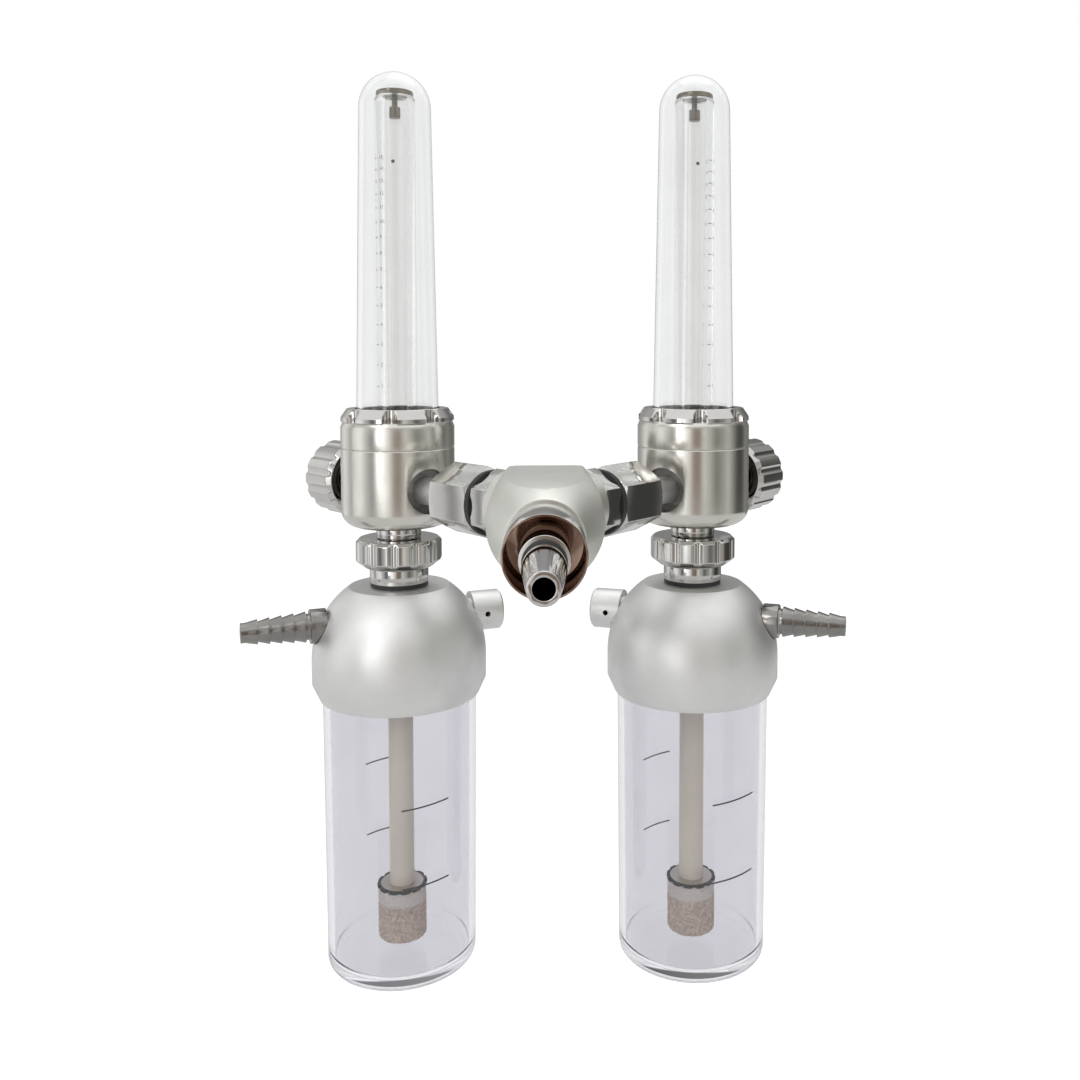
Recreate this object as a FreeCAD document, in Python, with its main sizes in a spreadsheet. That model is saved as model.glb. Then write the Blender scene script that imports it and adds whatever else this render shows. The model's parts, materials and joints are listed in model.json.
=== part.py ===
import FreeCAD, Part
import math
import os
import re

import Sketcher

# Twin oxygen flowmeter: one probe and manifold block, two flow units, two humidifier bottles.
# Millimetres. The origin is on the probe axis, in the middle of the round land behind its nose.
# The probe leaves along -Y, the two units stand side by side behind it, and +Z is up.

doc = FreeCAD.newDocument("OxygenFlowmeter")
sheet = doc.addObject("Spreadsheet::Sheet", "Sizes")

# Each size has its own cell. Heights are above the arm axis, drops are below it,
# and a reach is measured along an arm from the block centre or from a unit's axis.
SIZES = [
    ("Layout",),
    ("unit_spacing", 108.0, "between the two unit axes"),
    ("block_offset", 65.0, "block centre in front of the unit axes"),
    ("probe_reach", 81.0, "block centre to the middle of the probe land"),
    ("port_swing", 20.0, "turn of the barb and relief valve out of the unit plane, degrees"),
    ("part_gap", 0.3, "gap between pieces that move apart"),
    ("thread_gap", 0.06, "radial play of a turning thread or spindle"),
    ("Manifold block",),
    ("block_radius", 17.4, "round body"),
    ("block_front", 14.4, "front of the round part, ahead of the block centre"),
    ("block_back", 14.3, "back face, behind the block centre"),
    ("block_flat", 13.0, "height of the flat on top"),
    ("block_nose", 47.0, "front end of the tapered nose"),
    ("block_edge", 2.0, "rounding of the back edge"),
    ("boss_radius", 11.6, "round boss of each arm"),
    ("boss_reach", 17.0, "face of each boss"),
    ("gas_radius", 2.5, "gas way through the block and stubs"),
    ("Probe",),
    ("collar_radius", 10.6, "outer barrel"),
    ("collar_end", 69.4, "rim of the barrel"),
    ("collar_wall", 0.6, "wall at the rim"),
    ("collar_floor", 52.0, "bottom of the cup"),
    ("collar_shank", 9.0, "radius of the shank in the block"),
    ("shank_back", 38.0, "back end of the shank"),
    ("nozzle_radius", 6.3, "shaft inside the cup"),
    ("nozzle_thread", 4.5, "thread in the collar"),
    ("groove_width", 3.0, "seal groove between the shaft and the land"),
    ("groove_radius", 4.2, "bottom of the seal groove"),
    ("land_radius", 5.25, "round land that seals in the socket"),
    ("land_half", 4.0, "from the middle of the land to each of its ends"),
    ("nose_radius", 3.8, "tip"),
    ("nose_reach", 21.6, "from the middle of the land to the tip"),
    ("ring_section", 0.62, "radius of the rubber ring's section"),
    ("Arm joints",),
    ("hex_flats", 20.0, "across flats of the adaptor"),
    ("hex_length", 9.0, "hexagon of the adaptor"),
    ("hex_chamfer", 1.0, "corner chamfer of both hexagons"),
    ("tail_radius", 6.2, "thread in the block"),
    ("tail_length", 8.0, "thread in the block"),
    ("male_radius", 8.0, "thread inside the union nut"),
    ("male_length", 12.0, "thread inside the union nut"),
    ("washer_width", 2.0, "black ring between adaptor and nut"),
    ("washer_radius", 10.8, "black ring"),
    ("nut_flats", 20.6, "across flats of the union nut"),
    ("nut_length", 21.0, "union nut"),
    ("nut_shoulder", 6.0, "solid end of the union nut"),
    ("stub_radius", 4.8, "inlet stub"),
    ("Valve body",),
    ("body_radius", 20.4, "round body"),
    ("body_top", 24.0, "top face"),
    ("body_bottom", 14.0, "drop of the bottom face"),
    ("body_round", 6.0, "rounding of the bottom edge"),
    ("line_height", 14.5, "fine turned line round the body"),
    ("line_depth", 0.35, "fine turned line"),
    ("top_chamfer", 2.0, "height of the top chamfer"),
    ("spot_radius", 8.0, "round recess where the stub enters"),
    ("spot_depth", 2.9, "depth of both side recesses in the body"),
    ("bonnet_spot", 9.6, "recess on the knob side"),
    ("stub_reach", 8.5, "inner end of the stub, from the unit axis"),
    ("inlet_end", 3.0, "end of the inlet drilling, from the unit axis"),
    ("bonnet_thread", 6.5, "thread of the bonnet"),
    ("bonnet_reach", 12.5, "inner end of the bonnet thread"),
    ("chamber_radius", 5.0, "needle chamber"),
    ("chamber_reach", 4.6, "valve seat, from the unit axis"),
    ("seat_radius", 1.2, "valve seat"),
    ("outlet_radius", 2.0, "outlet drilling"),
    ("feed_offset", 4.0, "drilling up to the flow tube"),
    ("feed_drill", 1.8, "drilling up to the flow tube"),
    ("return_offset", 10.3, "drilling from the cover space to the needle chamber"),
    ("return_drill", 1.2, "drilling from the cover space"),
    ("Flow tube and cover",),
    ("tube_radius", 7.2, "flow tube"),
    ("tube_foot", 9.0, "foot of the flow tube"),
    ("tube_top", 139.8, "top of the flow tube"),
    ("tube_entry", 2.2, "bore under the ball"),
    ("ball_seat", 21.7, "edge that the ball rests on"),
    ("bore_bottom", 3.26, "tapered bore at the ball seat"),
    ("bore_top", 4.5, "tapered bore at the top"),
    ("ball_radius", 3.175, "float ball"),
    ("foot_recess", 2.0, "recess under the foot"),
    ("foot_wall", 1.2, "wall round the recess"),
    ("seat_clear", 1.5, "ring space round the foot"),
    ("seal_height", 2.5, "rubber ring round the foot"),
    ("disc_radius", 6.7, "brass disc on the flow tube"),
    ("disc_width", 1.8, "brass disc"),
    ("stop_radius", 2.0, "ball stop"),
    ("stop_length", 3.8, "ball stop"),
    ("stop_drop", 3.8, "stem between the disc and the stop"),
    ("stem_radius", 1.0, "stem of the ball stop"),
    ("vent_circle", 4.6, "circle of gas holes in the brass disc"),
    ("vent_radius", 0.8, "gas hole in the brass disc"),
    ("cover_top", 148.8, "apex of the outer cover"),
    ("dome_radius", 12.8, "outer cover at its dome"),
    ("cover_base", 14.8, "outer cover at its foot"),
    ("cover_wall", 1.9, "outer cover"),
    ("flange_gap", 0.5, "foot flange of the cover inside that thread"),
    ("flange_bottom", 17.0, "underside of the foot flange"),
    ("flange_width", 3.0, "foot flange"),
    ("gasket_width", 1.0, "flat seal under the flange"),
    ("ring_height", 4.6, "cover ring above the body"),
    ("ring_inset", 0.1, "cover ring inside the line of the body"),
    ("ring_slope", 2.1, "cover ring drawn in at its upper edge"),
    ("ring_band", 1.5, "upright edge of the cover ring"),
    ("skirt_wall", 2.4, "body outside the thread of the cover ring"),
    ("notch_radius", 2.6, "spanner notch"),
    ("Needle valve and knob",),
    ("bonnet_radius", 9.0, "bonnet flange"),
    ("flange_reach", 24.0, "outer face of the bonnet flange"),
    ("gland_radius", 5.5, "bonnet gland"),
    ("gland_reach", 30.0, "end of the gland"),
    ("spindle_radius", 2.5, "needle spindle"),
    ("needle_length", 5.0, "tapered tip"),
    ("needle_tip", 0.7, "radius at the tip"),
    ("knob_start", 27.0, "inner face of the knob"),
    ("knob_end", 46.0, "outer face of the knob"),
    ("knob_radius", 14.2, "control knob"),
    ("knob_recess", 10.0, "round recess in the inner face"),
    ("recess_gap", 2.0, "bottom of that recess beyond the gland"),
    ("flute_radius", 2.0, "finger groove"),
    ("flute_circle", 15.4, "centres of the finger grooves"),
    ("knob_chamfer", 1.6, "edges of the knob"),
    ("spindle_end", 41.0, "outer end of the spindle"),
    ("screw_radius", 4.0, "head of the knob screw"),
    ("screw_shank", 1.5, "shank of the knob screw"),
    ("screw_depth", 2.5, "recess for the knob screw"),
    ("screw_bury", 5.0, "screw in the spindle"),
    ("screw_sink", 0.6, "screw head below the knob face"),
    ("Outlet and coupling",),
    ("neck_radius", 8.1, "outlet spigot"),
    ("spigot_thread", 6.5, "upper thread of the spigot"),
    ("spigot_rise", 8.0, "upper thread of the spigot"),
    ("coupling_top", 18.7, "drop of the coupling nut"),
    ("coupling_bottom", 29.0, "drop of its lower face"),
    ("coupling_radius", 15.5, "coupling nut"),
    ("coupling_thread", 7.0, "lower thread of the spigot"),
    ("coupling_flute", 2.2, "grip groove of the nut"),
    ("coupling_circle", 16.8, "centres of the grip grooves"),
    ("coupling_chamfer", 1.2, "upper edge of the nut"),
    ("coupling_taper", 3.0, "width of its lower chamfer"),
    ("coupling_slope", 2.4, "height of its lower chamfer"),
    ("spigot_end", 25.0, "drop of the spigot's lower end"),
    ("head_width", 1.5, "head of the inlet stem"),
    ("stem_neck", 6.0, "inlet stem"),
    ("stem_head", 6.8, "head of the inlet stem"),
    ("lip_width", 1.9, "lower lip of the nut"),
    ("stem_collar", 10.6, "round collar over the cap"),
    ("collar_height", 5.5, "round collar over the cap"),
    ("stem_seal", 1.5, "black ring under the collar"),
    ("stem_seal_radius", 10.4, "black ring under the collar"),
    ("stem_bottom", 44.0, "drop of the stem's lower end"),
    ("socket_depth", 6.0, "socket for the bubbler tube"),
    ("Bottle and cap",),
    ("cap_radius", 31.5, "cap, and radius of its dome"),
    ("cap_shoulder", 62.0, "drop of the dome's centre"),
    ("cap_bottom", 76.0, "drop of the cap's rim"),
    ("rim_chamfer", 2.6, "width of the rim chamfer"),
    ("rim_slope", 5.6, "height of the rim chamfer"),
    ("cap_wall", 3.0, "dome wall"),
    ("cap_plate", 3.5, "flat top"),
    ("cap_bore", 25.0, "inside above the gasket"),
    ("port_drop", 48.7, "drop of the barb and relief axis"),
    ("port_thread", 5.0, "thread of both ports"),
    ("port_floor", 26.6, "seat of both ports, from the unit axis"),
    ("port_inner", 22.5, "inner end of both ports"),
    ("bottle_radius", 27.9, "bottle at its mouth"),
    ("bottle_base", 27.0, "bottle at its base"),
    ("bottle_drop", 174.8, "drop of the bottle's underside"),
    ("bottle_mouth", 60.3, "drop of the bottle's rim"),
    ("bottle_wall", 2.4, "bottle wall"),
    ("bottle_floor", 3.4, "bottle floor"),
    ("bottle_round", 3.0, "edge of the base"),
    ("cap_gasket", 1.5, "gasket in the cap"),
    ("pipe_radius", 4.5, "bubbler tube"),
    ("pipe_bore", 2.9, "bubbler tube"),
    ("pipe_bottom", 153.0, "drop of the bubbler tube's end"),
    ("diffuser_radius", 8.7, "bubble diffuser"),
    ("diffuser_top", 148.2, "drop of its top"),
    ("diffuser_bottom", 166.7, "drop of its underside"),
    ("diffuser_edge", 1.2, "rounded edges of the diffuser"),
    ("clip_lip", 0.4, "toothed clip beyond the diffuser"),
    ("clip_width", 0.9, "toothed clip"),
    ("clip_notch", 0.9, "gap between two teeth of the clip"),
    ("Hose barb and relief valve",),
    ("barb_root", 6.1, "shoulder of the hose barb"),
    ("barb_shoulder", 32.2, "end of the shoulder, from the unit axis"),
    ("barb_tip", 55.7, "end of the barb, from the unit axis"),
    ("barb_first", 5.5, "crest nearest the shoulder"),
    ("barb_neck", 1.5, "neck between the shoulder and the first crest"),
    ("barb_last", 4.4, "crest nearest the tip"),
    ("barb_step", 0.9, "depth behind each crest"),
    ("barb_bore", 1.9, "gas way of the barb"),
    ("barb_land", 1.6, "plain end of the barb"),
    ("relief_radius", 7.4, "relief valve cap"),
    ("relief_end", 38.0, "end of the relief valve, from the unit axis"),
    ("relief_edge", 0.7, "chamfer at the end"),
    ("relief_bore", 5.6, "inside of the relief valve cap"),
    ("relief_wall", 1.6, "end wall of the relief valve cap"),
    ("relief_seat", 27.8, "valve seat, from the unit axis"),
    ("relief_way", 2.2, "gas way to the seat"),
    ("relief_vent", 1.0, "vent hole"),
    ("vent_inset", 6.5, "vent holes from the end"),
    ("poppet_radius", 5.2, "valve disc"),
    ("poppet_width", 1.4, "valve disc"),
    ("poppet_stem", 1.1, "guide of the valve disc"),
    ("poppet_guide", 4.0, "guide of the valve disc"),
    ("seat_gap", 0.05, "play of pieces that rest on each other"),
    ("coil_radius", 2.6, "middle of the relief spring's coil"),
    ("wire_radius", 0.35, "wire of the relief spring"),
    ("spring_turns", 5.0, "turns of the relief spring"),
]

ALIASES = set()
for row, entry in enumerate(SIZES, start=1):
    sheet.set(f"A{row}", entry[0])
    if len(entry) == 3:
        sheet.set(f"B{row}", str(entry[1]))
        sheet.setAlias(f"B{row}", entry[0])
        sheet.set(f"C{row}", entry[2])
        ALIASES.add(entry[0])
doc.recompute()

SIDES = {"left": -1, "right": 1}
NOTCHES = 8
KNOB_FLUTES = 14
COUPLING_FLUTES = 12
BARB_RIDGES = 5
CLIP_TEETH = 12
VENT_HOLES = 6

# Places worked out from the sizes.
UNIT_PLANE = "(probe_reach + block_offset)"
ARM_ANGLE = "atan2(block_offset; unit_spacing / 2)"
ARM_LENGTH = "hypot(block_offset; unit_spacing / 2)"
SEAL_REACH = "(boss_reach + hex_length)"
NUT_REACH = "(boss_reach + hex_length + washer_width)"
MALE_REACH = "(boss_reach + hex_length + male_length)"
LAND_FRONT = "(probe_reach + land_half)"
LAND_BACK = "(probe_reach - land_half)"
RING_TOP = "(body_top + ring_height)"
RING_RADIUS = "(body_radius - ring_inset)"
RING_SKIRT = "(body_radius - skirt_wall)"
FLANGE_RADIUS = "(body_radius - skirt_wall - flange_gap)"
SPOT_REACH = "(body_radius - spot_depth)"
KNOB_FLOOR = "(gland_reach + recess_gap)"
FLANGE_TOP = "(flange_bottom + flange_width)"
GASKET_FLOOR = "(flange_bottom - gasket_width)"
BALL_CENTRE = "(ball_seat + sqrt(ball_radius ^ 2 - tube_entry ^ 2) + seat_gap)"
STEM_TOP = "(coupling_bottom + part_gap)"
CAP_TOP = "(coupling_bottom + part_gap + collar_height + stem_seal)"
HEAD_TOP = "(spigot_end + part_gap)"
GASKET_TOP = "(bottle_mouth - part_gap - cap_gasket)"
INNER_DOME = "(cap_radius - cap_wall)"
NOSE_DROP = "(block_radius - collar_radius - part_gap)"
NUT_END = "(boss_reach + hex_length + washer_width + nut_length)"
POPPET_BASE = "(relief_seat + seat_gap)"
POPPET_TOP = "(relief_seat + seat_gap + poppet_width)"
COIL_START = "(relief_seat + poppet_width + wire_radius + 2 * seat_gap)"
COIL_END = "(relief_end - relief_wall - wire_radius - seat_gap)"


def bound(text):
    # An expression with every size name led by the sheet's name.
    return re.sub(r"[a-z_]+", lambda word: "Sizes." + word[0] if word[0] in ALIASES else word[0], str(text))


def size(text):
    return float(sheet.evalExpression(bound(text)))


def place(piece, across="0", back="0", up="0", yaw="0", pitch="0"):
    # Puts a piece at a point, turned to a heading. A pitch of 90 lays its own Z axis along that heading.
    piece.setExpression(
        "Placement",
        f"create(<<placement>>; create(<<vector>>; {bound(across)}; {bound(back)}; {bound(up)});"
        f" create(<<rotation>>; {bound(yaw)}; {bound(pitch)}; 0))",
    )


def heading(side):
    return ARM_ANGLE if side > 0 else f"(180 deg - {ARM_ANGLE})"


def on_block(piece, yaw):
    place(piece, back="probe_reach", yaw=yaw, pitch="90")


def on_unit(piece, side, up="0", yaw="0", pitch="0"):
    place(piece, f"{side} * unit_spacing / 2", UNIT_PLANE, up, yaw, pitch)


def new_body(label):
    body = doc.addObject("PartDesign::Body", label)
    body.Label = label
    return body


def new_sketch(body, name, plane="XZ_Plane"):
    sketch = body.newObject("Sketcher::SketchObject", f"{body.Name}_{name}")
    sketch.AttachmentSupport = next(item for item in body.Origin.OriginFeatures if item.Role == plane)
    sketch.MapMode = "FlatFace"
    return sketch


def hold_point(sketch, curve, end, across, along):
    # Keeps a point of the sketch at two distances from its origin.
    for kind, text in (("DistanceX", across), ("DistanceY", along)):
        number = sketch.addConstraint(Sketcher.Constraint(kind, -1, 1, curve, end, size(text)))
        sketch.setExpression(f"Constraints[{number}]", bound(text))


def arc_between(start, end, radius):
    # The shorter arc between two corners: a positive radius turns left, a negative one right.
    chord = end - start
    half = chord.Length / 2
    rise = math.sqrt(max(radius * radius - half * half, 0.0))
    normal = FreeCAD.Vector(-chord.y, chord.x, 0).normalize()
    centre = (start + end) / 2 + normal * math.copysign(rise, radius)
    circle = Part.Circle(centre, FreeCAD.Vector(0, 0, 1), abs(radius))
    first, last = (start, end) if radius > 0 else (end, start)
    return Part.ArcOfCircle(circle, circle.parameter(first), circle.parameter(last))


def draw_outline(sketch, corners):
    # A closed outline of (across, along) corners. A third value is the radius of an arc to the next corner.
    points = [FreeCAD.Vector(size(corner[0]), size(corner[1]), 0) for corner in corners]
    starts = []
    ends = []
    for number, corner in enumerate(corners):
        here = points[number]
        there = points[(number + 1) % len(points)]
        if len(corner) == 3:
            radius = size(corner[2])
            curve = sketch.addGeometry(arc_between(here, there, radius))
            starts.append((curve, 1 if radius > 0 else 2))
            ends.append((curve, 2 if radius > 0 else 1))
        else:
            curve = sketch.addGeometry(Part.LineSegment(here, there))
            starts.append((curve, 1))
            ends.append((curve, 2))
    for number, corner in enumerate(corners):
        sketch.addConstraint(Sketcher.Constraint("Coincident", *ends[number - 1], *starts[number]))
    for number, corner in enumerate(corners):
        hold_point(sketch, *starts[number], corner[0], corner[1])
        if len(corner) == 3:
            curve = starts[number][0]
            rule = sketch.addConstraint(Sketcher.Constraint("Radius", curve, abs(size(corner[2]))))
            sketch.setExpression(f"Constraints[{rule}]", f"abs({bound(corner[2])})")


def draw_circle(sketch, across, along, radius):
    centre = FreeCAD.Vector(size(across), size(along), 0)
    curve = sketch.addGeometry(Part.Circle(centre, FreeCAD.Vector(0, 0, 1), size(radius)))
    hold_point(sketch, curve, 3, across, along)
    rule = sketch.addConstraint(Sketcher.Constraint("Radius", curve, size(radius)))
    sketch.setExpression(f"Constraints[{rule}]", bound(radius))


def turn(body, name, corners, kind="Revolution", axis="V_Axis"):
    # Material turned round the sketch's axis, or cut away round it where kind is Groove.
    sketch = new_sketch(body, name + "_outline")
    draw_outline(sketch, corners)
    feature = body.newObject("PartDesign::" + kind, f"{body.Name}_{name}")
    feature.Profile = sketch
    feature.ReferenceAxis = (sketch, [axis])
    feature.Angle = 360
    return feature


def turned(label, corners):
    body = new_body(label)
    turn(body, "turning", corners)
    return body


def drill(body, name, across, radius, length, plane="XY_Plane", along="0", lift="0", both=False):
    # A round pocket from the sketch plane along its normal, or both ways through the whole piece.
    sketch = new_sketch(body, name + "_circle", plane)
    sketch.setExpression("AttachmentOffset.Base.z", bound(lift))
    draw_circle(sketch, across, along, radius)
    pocket = body.newObject("PartDesign::Pocket", f"{body.Name}_{name}")
    pocket.Profile = sketch
    if both:
        pocket.Type = "ThroughAll"
        pocket.Midplane = True
    else:
        pocket.Reversed = True
        pocket.setExpression("Length", bound(length))
    return pocket


def repeat(body, feature, count, angle="360"):
    # Copies of a feature spaced evenly round the piece's own Z axis.
    pattern = body.newObject("PartDesign::PolarPattern", feature.Name + "_pattern")
    pattern.Originals = [feature]
    pattern.Axis = (next(item for item in body.Origin.OriginFeatures if item.Role == "Z_Axis"), [""])
    pattern.Angle = float(angle)
    pattern.Occurrences = count
    body.Tip = pattern
    return pattern


def hexagon(label, flats, start, length):
    # A hexagonal bar along the piece's own Z axis, with its corners turned down at both ends.
    body = new_body(label)
    sketch = new_sketch(body, "hexagon", "XY_Plane")
    corner = f"({flats} / sqrt(3))"
    draw_outline(sketch, [(f"{corner} * cos({60 * step})", f"{corner} * sin({60 * step})") for step in range(6)])
    pad = body.newObject("PartDesign::Pad", body.Name + "_bar")
    pad.Profile = sketch
    pad.setExpression("Length", bound(f"{start} + {length}"))
    doc.recompute()
    end = f"({start} + {length})"
    wide = f"({corner} + 1)"
    turn(body, "front_chamfer", [
        (f"{flats} / 2 - 0.2", end),
        (wide, end),
        (wide, f"{end} - hex_chamfer - 0.5"),
    ], "Groove")
    turn(body, "back_chamfer", [
        (f"{flats} / 2 - 0.2", start),
        (wide, f"{start} + hex_chamfer + 0.5"),
        (wide, "-1"),
        ("0", "-1"),
        ("0", start),
    ], "Groove")
    return body


def pair(label, pieces):
    both = doc.addObject("Part::Compound", label)
    both.Label = label
    both.Links = pieces
    return both


parts = []


def keep(piece):
    parts.append(piece)
    return piece


# Manifold block: a round body with a domed nose, a flat top and a round boss for each arm.
block_round = new_body("block_round")
turn(block_round, "turning", [
    ("0", "-block_back"),
    ("block_radius - block_edge", "-block_back", "block_edge"),
    ("block_radius", "-block_back + block_edge"),
    ("block_radius", "block_front", f"((block_nose - block_front) ^ 2 + {NOSE_DROP} ^ 2) / (2 * {NOSE_DROP})"),
    ("collar_radius + part_gap", "block_nose"),
    ("0", "block_nose"),
])
on_block(block_round, "-90")

block_flat = doc.addObject("Part::Box", "block_flat")
block_flat.setExpression("Length", bound("4 * block_radius"))
block_flat.setExpression("Width", bound("2 * (block_nose + block_back)"))
block_flat.setExpression("Height", bound("block_radius"))
place(block_flat, "-2 * block_radius", "probe_reach - 2 * block_nose", "block_flat")


def rod(label, radius, start, end, yaw):
    # A cylinder along a heading from the block centre.
    piece = doc.addObject("Part::Cylinder", label)
    piece.setExpression("Radius", bound(radius))
    piece.setExpression("Height", bound(f"({end}) - ({start})"))
    place(piece, f"({start}) * cos({yaw})", f"probe_reach + ({start}) * sin({yaw})", "0", yaw, "90")
    return piece


arm_bosses = [rod(f"{name}_boss", "boss_radius", "0", "boss_reach", heading(side)) for name, side in SIDES.items()]
block_solid = doc.addObject("Part::MultiFuse", "block_solid")
block_solid.Shapes = [block_round] + arm_bosses
block_ways = doc.addObject("Part::MultiFuse", "block_ways")
block_ways.Shapes = [
    block_flat,
    rod("shank_bore", "collar_shank", "shank_back", "block_nose + 1", "-90"),
    rod("probe_way", "gas_radius", "-gas_radius", "shank_back", "-90"),
]
for name, side in SIDES.items():
    block_ways.Shapes += [
        rod(f"{name}_face", "boss_radius + 3", "boss_reach", "boss_reach + hex_length", heading(side)),
        rod(f"{name}_tail_bore", "tail_radius", "boss_reach - tail_length", "boss_reach + 1", heading(side)),
        rod(f"{name}_arm_way", "gas_radius", "0", "boss_reach", heading(side)),
    ]
manifold_block = doc.addObject("Part::Cut", "manifold_block")
manifold_block.Base = block_solid
manifold_block.Tool = block_ways
keep(manifold_block)

# Probe: an open cup with the nozzle standing in it, and a rubber ring in the nozzle's groove.
probe_collar = keep(turned("probe_collar", [
    ("nozzle_thread", "shank_back"),
    ("collar_shank", "shank_back"),
    ("collar_shank", "block_nose"),
    ("collar_radius", "block_nose"),
    ("collar_radius", "collar_end"),
    ("collar_radius - collar_wall", "collar_end"),
    ("collar_radius - collar_wall", "collar_floor"),
    ("nozzle_thread", "collar_floor"),
]))
on_block(probe_collar, "-90")

probe_nozzle = keep(turned("probe_nozzle", [
    ("gas_radius", "shank_back"),
    ("nozzle_thread", "shank_back"),
    ("nozzle_thread", "collar_floor"),
    ("nozzle_radius", "collar_floor"),
    ("nozzle_radius", f"{LAND_BACK} - groove_width"),
    ("groove_radius", f"{LAND_BACK} - groove_width"),
    ("groove_radius", LAND_BACK),
    ("land_radius", LAND_BACK),
    ("land_radius", LAND_FRONT),
    ("nose_radius", "probe_reach + nose_reach"),
    ("gas_radius", "probe_reach + nose_reach"),
]))
on_block(probe_nozzle, "-90")

probe_ring = keep(doc.addObject("Part::Torus", "probe_o_ring"))
probe_ring.setExpression("Radius1", bound("groove_radius + ring_section + seat_gap"))
probe_ring.setExpression("Radius2", bound("ring_section"))
place(probe_ring, "0", "land_half + groove_width / 2", "0", "-90", "90")


def build_arm(name, side):
    # Adaptor, union nut and inlet stub, all on one line from the block to the valve body.
    yaw = heading(side)
    adaptor = keep(hexagon(f"{name}_block_adaptor", "hex_flats", "boss_reach", "hex_length"))
    turn(adaptor, "threads", [
        ("0", "boss_reach - tail_length"),
        ("tail_radius", "boss_reach - tail_length"),
        ("tail_radius", "boss_reach"),
        ("male_radius", "boss_reach"),
        ("male_radius", MALE_REACH),
        ("0", MALE_REACH),
    ])
    turn(adaptor, "bore", [
        ("0", "0"),
        ("gas_radius", "0"),
        ("gas_radius", f"{MALE_REACH} + 1"),
        ("0", f"{MALE_REACH} + 1"),
    ], "Groove")
    on_block(adaptor, yaw)

    nut = keep(hexagon(f"{name}_union_nut", "nut_flats", NUT_REACH, "nut_length"))
    turn(nut, "bore", [
        ("0", "0"),
        ("male_radius", "0"),
        ("male_radius", f"{NUT_END} - nut_shoulder"),
        ("stub_radius", f"{NUT_END} - nut_shoulder"),
        ("stub_radius", f"{NUT_END} + 1"),
        ("0", f"{NUT_END} + 1"),
    ], "Groove")
    on_block(nut, yaw)

    stub = keep(turned(f"{name}_inlet_stub", [
        ("gas_radius", MALE_REACH),
        ("male_radius - part_gap", MALE_REACH),
        ("male_radius - part_gap", f"{NUT_END} - nut_shoulder"),
        ("stub_radius", f"{NUT_END} - nut_shoulder"),
        ("stub_radius", f"{ARM_LENGTH} - stub_reach"),
        ("gas_radius", f"{ARM_LENGTH} - stub_reach"),
    ]))
    on_block(stub, yaw)


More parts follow.
